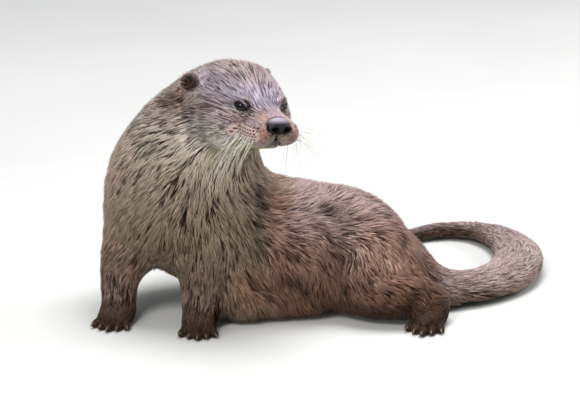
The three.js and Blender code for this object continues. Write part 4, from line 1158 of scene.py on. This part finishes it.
sole = (cen[:, 2] < 1.2) | ((cN[:, 2] < -0.75) & (cen[:, 2] < 10))
tn = np.where(sole, 0, tn)
under = (cN[:, 2] < -0.45) & (cen[:, 2] < 40)
tn = np.where(under, tn * 0.5, tn)


def systematic(weight, order, seed):
    r = np.random.default_rng(seed)
    w = weight[order]
    c = np.cumsum(w)
    k = int(c[-1])
    pick = np.searchsorted(c, np.arange(k) + r.random(k) * 0.9)
    return order[np.clip(pick, 0, len(order) - 1)]


def morton(c, cell=6.0):
    g = np.clip(((c - c.min(0)) / cell).astype(np.int64), 0, 1023)
    key = np.zeros(len(c), np.int64)
    for b in range(10):
        for k in range(3):
            key |= ((g[:, k] >> b) & 1) << (3 * b + k)
    return key


order = np.argsort(morton(cen), kind="stable")
tri = systematic(A * tn, order, 11)
NT = len(tri)
uv = rng.random((NT, 2))
fl = uv.sum(1) > 1
uv[fl] = 1 - uv[fl]
bc = np.stack([1 - uv.sum(1), uv[:, 0], uv[:, 1]], 1)


def at_roots(X):
    return (X[T[tri]] * bc[:, :, None]).sum(1) if X.ndim == 2 else (X[T[tri]] * bc).sum(1)


R = at_roots(V)
RN = at_roots(N)
RN /= np.linalg.norm(RN, axis=1)[:, None]
RW = np.stack([at_roots(vW[i]) for i in range(9)])
RQ = at_roots(vq.astype(float))
RrT = at_roots(vrT.astype(float))
RD = at_roots(vdir)
L, Wd, _ = lookfor(R, RW, RQ, RrT)
log("roots", NT)

# the lie: along the field, swirled by smooth noise
RD = RD - (RD * RN).sum(1)[:, None] * RN
RD /= np.linalg.norm(RD, axis=1)[:, None] + 1e-9
B = np.cross(RN, RD)
legw_ = RW[3:7].sum(0)
bodyw = np.clip(RW[1] + RW[2] + legw_, 0, 1)
headw = np.clip(RW[0], 0, 1)
amp1 = 0.5 * RW[1] + 0.30 * RW[0] + 0.25 * RW[2] + 0.4 * legw_
flank = RW[1] * smooth(RrT, 190, 240) + RW[5] + RW[6]
ang = (noise(R, 26, 5) - 0.5) * 1.5 * amp1 + (noise(R, 9, 6) - 0.5) * 0.8 * amp1 + rng.normal(0, 0.07, NT)
ang = ang + (noise(R, 13, 61) - 0.5) * 1.05 * flank
D1 = RD * np.cos(ang)[:, None] + B * np.sin(ang)[:, None]
B1 = np.cross(RN, D1)
L = L * (0.8 + 0.4 * rng.random(NT)) * (0.85 + 0.3 * noise(R, 12, 8))
Wd = Wd * (0.75 + 0.5 * rng.random(NT))

# locks: the coat parts into narrow bunches along the lie, each with a ridge, a tip and a tone of its own
lw = np.interp(RQ[:, 0], [-125, -95, -60, -35, -22], [1.6, 1.45, 1.3, 1.15, 1.0])
lw = lw * RW[0] + (1.45 + 0.15 * flank) * RW[1] + 1.7 * RW[2] + np.interp(R[:, 2], [8, 30, 70], [1.2, 1.4, 1.5]) * legw_ + 1.2 * RW[7:].sum(0)
lw = lw * (0.8 + 0.4 * noise(R, 17, 21))
asp = 4.0 * RW[0] + (5.6 - 1.2 * np.clip(flank, 0, 1)) * RW[1] + 5.0 * RW[2] + 5.0 * legw_ + 2.0 * RW[7:].sum(0)
_, _, dens = lookfor(R, RW, RQ, RrT)
prob = 1 / (lw**2 * asp) / dens
cs = np.cumsum(prob) + 0.3
src = np.nonzero(np.floor(cs) != np.floor(np.concatenate([[0], cs[:-1]])))[0]
pick = np.clip(src + rng.integers(-3, 4, len(src)), 0, NT - 1)
src = np.unique(pick)
kl = kdtree.KDTree(len(src))
for j, i in enumerate(src):
    kl.insert(R[i], j)
kl.balance()
K = min(10, len(src))
cand = src[np.array([[h[1] for h in kl.find_n(v, K)] for v in R])]
dv_ = R[:, None, :] - R[cand]
du = (dv_ * D1[cand]).sum(2)
dw = (dv_ * B1[cand]).sum(2)
dn = (dv_ * RN[cand]).sum(2)
met = (du / asp[:, None]) ** 2 + dw**2 + dn**2
best = met.argmin(1)
ii = np.arange(NT)
lock = cand[ii, best]
dw, du = dw[ii, best], du[ii, best]
ridge = np.clip(1 - (dw / (0.56 * lw[lock])) ** 2, 0, 1)
rl = rng.random(NT)[lock]
own = rng.random(NT)
patchy = noise(R, 11, 33) - 0.5
rf, rl_, ru = RQ[:, 0], np.abs(RQ[:, 1]), RQ[:, 2]
padr = (1 - smooth(((rf + 17) / 21.0) ** 2 + ((ru + 7) / 12.0) ** 2, 0.8, 1.15)) * smooth(rl_, 8, 13)
furry = np.clip(1 - np.maximum(smooth(rf, -24, -12), padr) * RW[0], 0, 1)
even = 1 - 0.5 * smooth(ru, 6, 20) * smooth(-rf, 8, 30) * (1 - smooth(-rf, 95, 120)) * RW[0]
# tone: each lock's own tone, with painted shade: tufts darker towards the lock's edges, in the gaps between locks,
# lighter along its ridge
tone = 0.26 + 0.40 * ridge * even + 0.20 * (1 - even) + (0.80 * (rl - 0.5) + 0.55 * (own - 0.5)) * even + (0.45 + 0.25 * flank) * patchy
bold = RW[1] * (1 - smooth(RrT, 175, 240)) * smooth(R[:, 2], 100, 150)
tone = tone + bold * (0.5 * (rl - 0.5) + 0.25 * (ridge - 0.5) - 0.05)
tone = np.clip(tone * furry + (0.5 + 0.5 * (own - 0.5)) * (1 - furry), 0, 1)
# one direction in a lock, and the hairs draw in to its line
hold = (0.75 * furry)[:, None]
D1 = D1 * (1 - hold) + D1[lock] * hold
D1 = D1 - (D1 * RN).sum(1)[:, None] * RN
D1 /= np.linalg.norm(D1, axis=1)[:, None] + 1e-9
B1 = np.cross(RN, D1)
L = L * (1 - 0.5 * furry) + L * (0.82 + 0.36 * rl) * 0.5 * furry
infold = creased(R.astype(F))[1].astype(float)
L = L * (1 - 0.5 * infold)
# painted shade: tufts in the folds darker
tone = np.clip(tone - 0.35 * infold, 0, 1)
log("locks", len(src))

# how high the tips stand over the skin
p32 = R.astype(F)
Dr, qr = parts_of(p32)
depth = coat_depth(p32, qr, Dr).astype(float)
rise = depth * (1 - 0.45 * infold) * np.clip(0.18 + 0.30 * ridge + 0.26 * rl + 0.26 * own, 0.15, 0.98) * (0.85 + 0.3 * noise(R, 10, 9))
tip = R + D1 * L[:, None] + RN * rise[:, None] - B1 * (dw * 0.72 * furry)[:, None]

# the tips keep their height over the skin and stay inside the outer face
for _ in range(2):
    tp = tip.astype(F)
    Dt, qt = parts_of(tp)
    dt = coat_depth(tp, qt, Dt).astype(float)
    h = face_detail(qt, whole(Dt) + creased(tp)[0] + dt.astype(F)).astype(float)  # height over the skin
    want = np.minimum(rise, dt * 0.97)
    tip = tip + RN * np.clip(want - h, -6, 6)[:, None] * 0.9
for part in (1.0, 0.6):
    te = eye_frame(in_head((R + (tip - R) * part).astype(F))).astype(float)
    over = (lid_gap(te) < 1.12) & (te[:, 2] > -2) & (np.abs(te).max(1) < 12)
    tip[over] = R[over] + (tip[over] - R[over]) * 0.25
tip[:, 2] = np.maximum(tip[:, 2], 0.25)
log("tips")
warm = np.clip(0.5 * rng.random(NT) + 0.5 * noise(R, 20, 14), 0, 1) * (1 - 0.75 * RW[0])
seen = R + (tip - R) * 0.62
sq = in_head(seen.astype(F)).astype(float)
Rl, Rd = markings_and_painted_light(seen, RW, sq, RrT, RN)
log("colours")

# ---- which piece each tuft belongs to, and its place on an unwrap along and round the body
ang_unwrap = np.zeros(NT)
run_unwrap = np.zeros(NT)
region = np.zeros(NT, int)
dom = RW.argmax(0)
q = RQ
headish = (dom == 0) | (dom >= 7)
PIECES = [
    ("coat_face", headish & (q[:, 0] > -42)),
    ("coat_crown_left", headish & (q[:, 0] <= -42) & (q[:, 1] > 0)),
    ("coat_crown_right", headish & (q[:, 0] <= -42) & (q[:, 1] <= 0)),
    ("coat_neck_left", (dom == 1) & (RrT < 95) & (R[:, 0] > -90)),
    ("coat_neck_right", (dom == 1) & (RrT < 95) & (R[:, 0] <= -90)),
    ("coat_chest_left", (dom == 1) & (RrT >= 95) & (RrT < 190) & (R[:, 0] > -100)),
    ("coat_chest_right", (dom == 1) & (RrT >= 95) & (RrT < 190) & (R[:, 0] <= -100)),
    ("coat_side_left", (dom == 1) & (RrT >= 190) & (R[:, 1] < 112)),
    ("coat_side_right", (dom == 1) & (RrT >= 190) & (R[:, 1] >= 112)),
    ("coat_tail", dom == 2),
    ("coat_foreleg_right", dom == 3),
    ("coat_foreleg_left", dom == 4),
    ("coat_hindleg_left", dom == 5),
    ("coat_hindleg_right", dom == 6),
]
bend = bodyw * (L > 9.5) > 0.5  # long tufts have a bend in them
COUNT = 0
GROUPS = []
for name, m in PIECES:
    idx = np.nonzero(m)[0]
    if not len(idx):
        continue
    tris = np.where(bend[idx], 10, 4)
    parts = int(math.ceil(tris.sum() / 185000.0))
    if parts > 1:
        o = np.argsort(RrT[idx] + 0.001 * R[idx, 2])
        for k, sub in enumerate(np.array_split(idx[o], parts)):
            GROUPS.append(("%s_%d" % (name, k + 1), sub))
    else:
        GROUPS.append((name, idx))


def unwrap(idx):
    """place on the unrolled surface: length along the body, angle round it"""
    P = R[idx]
    c = P.mean(0)
    if dom[idx[0]] == 1:
        ch = cTRUNK
    elif dom[idx[0]] == 2:
        ch = cTAIL
    else:
        ch = None
    if ch is not None:
        _, s, r = ch.walk(P.astype(F), True)
        w = P - ch.P[s]
        a = np.arctan2((w * ch.S[s]).sum(1), (w * ch.U[s]).sum(1))
        return a, r.astype(float)
    if headish[idx[0]]:
        w = RQ[idx]
        return np.arctan2(w[:, 1], w[:, 2] + 4), w[:, 0]
    w = P - c
    return np.arctan2(w[:, 1], w[:, 0]), w[:, 2]


def build(name, idx):
    n = len(idx)
    a, r = unwrap(idx)
    rows = int(math.ceil(math.sqrt(n)))
    rr = np.argsort(np.argsort(r, kind="stable"), kind="stable") * rows // n
    o = np.lexsort((a, rr))
    col = np.zeros(n)
    start = np.searchsorted(rr[o], np.arange(rows))
    col[o] = np.arange(n) - start[rr[o]]
    width = np.bincount(rr, minlength=rows)[rr]
    cell = 0.98 / max(rows, 1)
    size = min(0.003, cell * 0.86)
    U0 = 0.01 + (col + 0.5) / width * 0.98 - size / 2
    V0 = 0.01 + (rr + 0.5) * cell - size / 2
    P, D, Bn, Nn, w, tp = R[idx], D1[idx], B1[idx], RN[idx], Wd[idx], tip[idx]
    base = P - Nn * 0.5
    up = np.cross(tp - base, Bn)
    up /= np.linalg.norm(up, axis=1)[:, None] + 1e-9
    sgn = np.sign((up * Nn).sum(1))[:, None]
    up = up * np.where(sgn == 0, 1, sgn)
    hw = (w * 0.5)[:, None]
    b0, b1, b2 = base - Bn * hw, base + Bn * hw, base + up * hw * 0.8
    bm = bend[idx]
    cols = {"light": Rl[idx], "dark": Rd[idx]}
    out_v, out_t, out_uv, out_l, out_d, out_f = [], [], [], [], [], []
    off = 0
    tn_ = np.stack([tone[idx], np.zeros(n), warm[idx]], 1)
    for sel, bent in ((np.nonzero(~bm)[0], False), (np.nonzero(bm)[0], True)):
        k = len(sel)
        if not k:
            continue
        B0, B1_, B2, TP = b0[sel], b1[sel], b2[sel], tp[sel]
        if not bent:
            vs = [B0, B1_, B2, TP]
            uvp = [(0, 0), (1, 0), (0.5, 0.3), (0.5, 1)]
            al = [0, 0, 0.05, 1]
            f = [(0, 2, 1), (0, 1, 3), (1, 2, 3), (2, 0, 3)]
        else:
            ln = np.linalg.norm(TP - base[sel], axis=1)[:, None]
            mid = base[sel] * 0.5 + TP * 0.5 + Nn[sel] * ln * 0.07 + Bn[sel] * ln * (rng.normal(0, 0.05, k)[:, None])
            h2 = hw[sel] * 0.8
            M0, M1, M2 = mid - Bn[sel] * h2, mid + Bn[sel] * h2, mid + up[sel] * h2 * 0.8
            vs = [B0, B1_, B2, M0, M1, M2, TP]
            uvp = [(0, 0), (1, 0), (0.5, 0.25), (0.08, 0.5), (0.92, 0.5), (0.5, 0.66), (0.5, 1)]
            al = [0, 0, 0.03, 0.5, 0.5, 0.55, 1]
            f = [(0, 2, 1), (0, 1, 4), (0, 4, 3), (1, 2, 5), (1, 5, 4), (2, 0, 3), (2, 3, 5), (3, 4, 6), (4, 5, 6), (5, 3, 6)]
        nv = len(vs)
        VV = np.stack(vs, 1).reshape(-1, 3)
        ff = (np.arange(k)[:, None, None] * nv + np.array(f)[None]).reshape(-1, 3) + off
        uvt = np.array(uvp)[np.array(f)].reshape(-1, 2)
        UU = np.stack([U0[sel][:, None] + uvt[None, :, 0] * size, V0[sel][:, None] + uvt[None, :, 1] * size], -1).reshape(-1, 2)
        out_v.append(VV)
        out_t.append(ff)
        out_uv.append(UU)
        tt = np.repeat(tn_[sel], nv, 0)
        tt[:, 1] = np.tile(al, k)
        out_f.append(tt)
        out_l.append(np.repeat(cols["light"][sel], nv, 0))
        out_d.append(np.repeat(cols["dark"][sel], nv, 0))
        off += len(VV)
    VV = np.concatenate(out_v)
    VV[:, 2] = np.maximum(VV[:, 2], 0.15)
    ob = make_mesh(name, VV, np.concatenate(out_t), {"light": np.concatenate(out_l), "dark": np.concatenate(out_d), "tuft": np.concatenate(out_f)}, np.concatenate(out_uv))
    ob.data.materials.append(COAT)
    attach(ob, "root")
    return len(out_t) and sum(len(x) for x in out_t)


total = 0
for name, idx in GROUPS:
    k = build(name, idx)
    total += k
    log(name, len(idx), k)
log("coat triangles", total, "tufts", NT)


# ------------------------------------------------------------------ eyes
def sphere(c, r, axis, nu=40, nv=28, bulge=0.0):
    """ball with its pole along axis; bulge raises a cap round the pole"""
    z = unit(axis)
    x = unit(np.cross(z, (0.3, 0.1, 0.9)))
    y = np.cross(z, x)
    th = np.linspace(0, math.pi, nv)
    ph = np.linspace(0, 2 * math.pi, nu, endpoint=False)
    P, al = [], []
    for t in th[1:-1]:
        rr = r + bulge * max(0, math.cos(t) - 0.72) / 0.28
        for f in ph:
            P.append(c + rr * (math.sin(t) * (math.cos(f) * x + math.sin(f) * y) + math.cos(t) * z))
    P = [c + (r + bulge) * z] + P + [c - r * z]
    T = []
    n = len(P)
    for j in range(nu):
        T.append((0, 1 + j, 1 + (j + 1) % nu))
        for i in range(nv - 3):
            a, b = 1 + i * nu + j, 1 + i * nu + (j + 1) % nu
            T += [(a, a + nu, b + nu), (a, b + nu, b)]
        a, b = 1 + (nv - 3) * nu + j, 1 + (nv - 3) * nu + (j + 1) % nu
        T.append((a, n - 1, b))
    return np.array(P), np.array(T)


def eye_material():
    m, nt, b = new_mat("eye_wet")
    at = node(nt, "ShaderNodeAttribute", attribute_name="ring")
    sep = node(nt, "ShaderNodeSeparateColor")
    nt.links.new(at.outputs["Color"], sep.inputs[0])
    n = pos_noise(nt, 1600.0, 3.0)
    r = math_(nt, "ADD", sep.outputs[0], math_(nt, "MULTIPLY", math_(nt, "SUBTRACT", n, 0.5), 0.05))
    c = ramp(nt, r, [(0.0, (0.002, 0.002, 0.003)), (0.30, (0.003, 0.003, 0.004)), (0.36, (0.014, 0.007, 0.004)), (0.62, (0.009, 0.005, 0.003)), (0.72, (0.006, 0.004, 0.003)), (1.0, (0.03, 0.018, 0.014))])
    nt.links.new(c, b.inputs["Base Color"])
    b.inputs["Roughness"].default_value = 0.05
    b.inputs["Specular IOR Level"].default_value = 0.3
    return m


EYEM = eye_material()
for side, nm in ((1, "left"), (-1, "right")):
    c = from_head(np.array(EYE_AT) * [1, side, 1])
    ax = (eye_axis * [1, side, 1]) @ RH
    P, TT = sphere(c, EYE_R - 0.05, ax, bulge=0.3)
    w = (P - c) / np.linalg.norm(P - c, axis=1)[:, None]
    a = np.arccos(np.clip(w @ unit(ax), -1, 1)) / math.pi * 2
    ob = make_mesh("eyeball_" + nm, P, TT, {"ring": np.stack([a, a, a], 1)})
    ob.data.materials.append(EYEM)
    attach(ob, "root")
    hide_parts("eye_" + nm)


# ------------------------------------------------------------------ nose pad
def nostril(q):
    m = q.copy()
    m[:, 1] = np.abs(m[:, 1])
    d = ell(m, (1.4, 6.6, -0.9), (4.2, 3.7, 2.5))
    d = smin(d, rcone(m, (0.2, 8.6, -0.8), (-3.2, 13.2, 1.4), 1.7, 0.7), 1.2)
    return smin(d, rcone(m, (1.6, 5.0, -1.8), (1.2, 2.6, -3.4), 1.3, 0.5), 1.0)


def nose_fn(p):
    q = in_head(p)
    # narrower towards the lip
    q[:, 1] = q[:, 1] * (1 + 0.075 * np.clip(-0.5 - q[:, 2], 0, 6))
    m = q.copy()
    m[:, 1] = np.abs(m[:, 1])
    d = ell(q, NOSE_AT, NOSE_R)
    # the wings round the nostrils stand out, the middle is furrowed
    d = smin(d, ell(m, (-2.4, 8.4, -1.6), (4.8, 5.0, 4.6)), 2.5)
    d = d + 0.9 * np.exp(-((q[:, 1] / 0.8) ** 2)) * np.clip((0.5 - q[:, 2]) / 4, 0, 1)
    return smax(d, -nostril(q), 0.7)


NV, NTr = nets(nose_fn, from_head((-4, 0, 1)) - 21, from_head((-4, 0, 1)) + 21, 0.55)
NV = settle(nose_fn, NV, 0.6, 2, 0.1).astype(float)
nq = in_head(NV)
nd = nostril(nq)
# painted shade: black inside the nostrils
hole = 1 - smooth(nd, 0.0, 1.9)
# painted shade: the lower part of the nose pad darker
nose_low_shade = smooth(-nq[:, 2], -3.2, 1.0) * (1 - smooth(np.abs(nq[:, 1]), 8.0, 11.0) * smooth(-nq[:, 2], 1.0, 3.5))
# painted sheen: the top of the nose pad paler and lavender
nose_top_sheen = smooth(nq[:, 2], 4.0, 9.4)


def nose_material():
    m, nt, b = new_mat("nose_leather")
    at = node(nt, "ShaderNodeAttribute", attribute_name="part")
    sep = node(nt, "ShaderNodeSeparateColor")
    nt.links.new(at.outputs["Color"], sep.inputs[0])
    tc = node(nt, "ShaderNodeTexCoord")
    vo = node(nt, "ShaderNodeTexVoronoi")
    vo.inputs["Scale"].default_value = 1500.0
    nt.links.new(tc.outputs["Object"], vo.inputs["Vector"])
    n = pos_noise(nt, 260.0, 3.0)
    c = ramp(nt, n, [(0.3, (0.011, 0.009, 0.013)), (0.7, (0.022, 0.019, 0.025))])
    # painted sheen on the top of the pad
    c = mixrgb(nt, sep.outputs[2], c, (0.38, 0.325, 0.38))
    c = mixrgb(nt, math_(nt, "MULTIPLY", vo.outputs["Distance"], 0.14, True), c, (0.09, 0.078, 0.09))
    # painted shade on the lower part of the pad
    c = mixrgb(nt, math_(nt, "MULTIPLY", sep.outputs[1], 0.9), c, (0.010, 0.007, 0.009))
    # painted shade inside the nostrils
    c = mixrgb(nt, sep.outputs[0], c, (0.004, 0.003, 0.004))
    nt.links.new(c, b.inputs["Base Color"])
    b.inputs["Roughness"].default_value = 0.46
    b.inputs["Specular IOR Level"].default_value = 0.18
    bump = node(nt, "ShaderNodeBump")
    bump.inputs["Strength"].default_value = 0.45
    bump.inputs["Distance"].default_value = 0.0003
    nt.links.new(vo.outputs["Distance"], bump.inputs["Height"])
    nt.links.new(bump.outputs["Normal"], b.inputs["Normal"])
    return m


nose = make_mesh("nose_pad", NV, NTr, {"part": np.stack([hole, nose_low_shade, nose_top_sheen], 1)})
nose.data.materials.append(nose_material())
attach(nose, "root")
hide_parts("nose")


# ------------------------------------------------------------------ tapered tubes: claws, whiskers
def tube(path, rad, sides=5):
    path = np.asarray(path, float)
    n = len(path)
    tg = np.gradient(path, axis=0)
    tg /= np.linalg.norm(tg, axis=1)[:, None] + 1e-12
    ref = np.array([0.13, 0.27, 0.95])
    Vs = []
    for i in range(n - 1):
        x = unit(np.cross(tg[i], ref))
        y = np.cross(tg[i], x)
        for k in range(sides):
            a = 2 * math.pi * k / sides
            Vs.append(path[i] + rad[i] * (math.cos(a) * x + math.sin(a) * y))
    Vs.append(path[-1])
    Ts = []
    for i in range(n - 2):
        for k in range(sides):
            a, b = i * sides + k, i * sides + (k + 1) % sides
            Ts += [(a, b, b + sides), (a, b + sides, a + sides)]
    last = (n - 2) * sides
    for k in range(sides):
        Ts.append((last + k, last + (k + 1) % sides, len(Vs) - 1))
    for k in range(1, sides - 1):
        Ts.append((0, k + 1, k))
    return np.array(Vs), np.array(Ts)


def join(bits):
    Vs, Ts, o = [], [], 0
    for v, t in bits:
        Vs.append(v)
        Ts.append(t + o)
        o += len(v)
    return np.concatenate(Vs), np.concatenate(Ts)


def claw_material():
    m, nt, b = new_mat("claw_horn")
    n = pos_noise(nt, 700.0, 2.0)
    c = ramp(nt, n, [(0.3, (0.05, 0.032, 0.022)), (0.7, (0.16, 0.11, 0.075))])
    nt.links.new(c, b.inputs["Base Color"])
    b.inputs["Roughness"].default_value = 0.35
    return m


bits = []
for k, p in PAW.items():
    f, s = paw_axes(p)
    for a, b, r0, r1 in toes(p):
        d = unit(f * (b[0] - a[0]) + s * (b[1] - a[1]))
        root = np.array(p["heel"]) + f * (b[0] + r1 * 0.25) + s * b[1] + np.array([0, 0, b[2] + 1.6])
        path = [root + d * t * 7.2 + np.array([0, 0, -2.6 * t * t]) for t in np.linspace(0, 1, 7)]
        bits.append(tube(path, np.array([1.1, 1.1, 1.0, 0.85, 0.6, 0.35, 0]), 8))
cv, ct = join(bits)
cv[:, 2] = np.maximum(cv[:, 2], 0.1)
claws = make_mesh("claws", cv, ct)
claws.data.materials.append(claw_material())
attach(claws, "root")


def whisker_material():
    m, nt, b = new_mat("whisker_hair")
    n = pos_noise(nt, 120.0, 2.0)
    c = ramp(nt, n, [(0.3, (0.60, 0.58, 0.50)), (0.7, (0.88, 0.87, 0.80))])
    nt.links.new(c, b.inputs["Base Color"])
    b.inputs["Roughness"].default_value = 0.35
    return m


wr = np.random.default_rng(5)
starts, sides_ = [], []
for side in (1, -1):
    for f, u in FOLL:
        if (u > -8 and f > -26) or u > -2.4 or f > -5 or wr.random() < 0.06:
            continue
        starts.append((f, side * 34.0, u))
        sides_.append(side)
starts, sides_ = np.array(starts), np.array(sides_)
for _ in range(16):
    d = skin_fn((starts @ RH + NOSE_TIP).astype(F))
    starts[:, 1] -= sides_ * np.clip(d, -5, 5) * 0.7
bits = []
for p0, side in zip(starts, sides_):
    back_ = np.clip((-p0[0] - 8) / 24, 0, 1)
    Lw = (wr.uniform(17, 30) + 26 * back_ * wr.uniform(0.5, 1.1)) * (1.5 if side > 0 else 1.2)
    far_ = 0.5 if side > 0 else 0.0
    out = unit([0.12 - 0.62 * back_ + wr.normal(0, 0.14), side * (0.85 - 0.35 * back_), -0.72 + far_ + wr.normal(0, 0.24)])
    bend_ = np.array([-0.10 - 0.10 * back_, side * -0.12, (-0.42 if side > 0 else -0.75) + wr.normal(0, 0.14)])
    t = np.linspace(0, 1, 9)[:, None]
    path = (p0 + out * Lw * t + bend_ * Lw * t * t * 0.8) @ RH + NOSE_TIP
    path[:, 1] = np.maximum(path[:, 1], -42)
    bits.append(tube(path, wr.uniform(0.14, 0.2) * (1.6 if side > 0 else 1.0) * (1 - t[:, 0]) ** 0.7 + 0.03, 4))
# a few fine ones over the eyes
for side in (1, -1):
    for k in range(3):
        p0 = np.array([-31 - 3 * k, side * (19.5 + k), 22.5])
        out = unit([-0.1 - 0.2 * k, side * 0.8, 0.55])
        t = np.linspace(0, 1, 7)[:, None]
        path = (p0 + out * 15 * t + np.array([-9, 0, -1]) * t * t) @ RH + NOSE_TIP
        bits.append(tube(path, 0.12 * (1 - t[:, 0]) ** 0.7 + 0.02, 4))
wv, wt = join(bits)
wv[:, 2] = np.maximum(wv[:, 2], 0.1)
wh = make_mesh("whiskers", wv, wt)
wh.data.materials.append(whisker_material())
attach(wh, "root")
log("small pieces")

# ------------------------------------------------------------------ floor, light, camera
me = bpy.data.meshes.new("floor")
S = 14.0
me.from_pydata([(-S, -S, 0), (S, -S, 0), (S, S, 0), (-S, S, 0)], [], [(0, 1, 2, 3)])
floor = bpy.data.objects.new("floor", me)
bpy.context.scene.collection.objects.link(floor)
fm, nt, b = new_mat("floor_pale")
n = pos_noise(nt, 3.0, 3.0)
nt.links.new(ramp(nt, n, [(0.3, (0.60, 0.60, 0.58)), (0.7, (0.64, 0.64, 0.62))]), b.inputs["Base Color"])
b.inputs["Roughness"].default_value = 0.9
floor.data.materials.append(fm)

world = bpy.data.worlds.new("studio")
world.use_nodes = True
bg = world.node_tree.nodes["Background"]
bg.inputs["Color"].default_value = (0.86, 0.90, 0.95, 1)
bg.inputs["Strength"].default_value = 0.36
bpy.context.scene.world = world


def area(name, loc, look, size, power, color=(1, 1, 1), glint=True):
    l = bpy.data.lights.new(name, "AREA")
    l.shape = "DISK"
    l.size = size
    l.energy = power
    l.color = color
    o = bpy.data.objects.new(name, l)
    o.location = loc
    o.rotation_euler = (Vector(look) - Vector(loc)).to_track_quat("-Z", "Y").to_euler()
    o.visible_glossy = glint
    bpy.context.scene.collection.objects.link(o)


area("top", (0.15, 0.25, 2.0), (0, 0, 0.1), 1.3, 44, (0.97, 0.97, 1))
area("key", (-0.7, -1.3, 1.5), (0, 0, 0.1), 0.8, 20, (1, 0.985, 0.95))
area("rim", (1.5, 0.7, 0.9), (0, 0, 0.15), 0.8, 14, (1, 1, 0.97))
area("low", (-1.2, -1.9, 0.5), (-0.05, 0, 0.12), 1.0, 14, (1, 1, 0.96), False)

W_, H_ = 580, 412
ELEV, DIST, FPX = math.radians(17), 3200.0, 3360.0
cam = bpy.data.cameras.new("camera")
co = bpy.data.objects.new("camera", cam)
bpy.context.scene.collection.objects.link(co)
back = np.array([0, -math.cos(ELEV), math.sin(ELEV)])
co.location = to_part(np.array([0, 0, 133.0]) + back * DIST)
co.rotation_euler = (math.pi / 2 - ELEV, 0, 0)
cam.sensor_fit = "HORIZONTAL"
cam.sensor_width = 36
cam.lens = FPX * 36 / W_
cam.clip_start, cam.clip_end = 0.1, 60
bpy.context.scene.camera = co
try:
    bpy.context.scene.view_settings.view_transform = "Standard"
except Exception:
    pass

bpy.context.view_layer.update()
log("done")
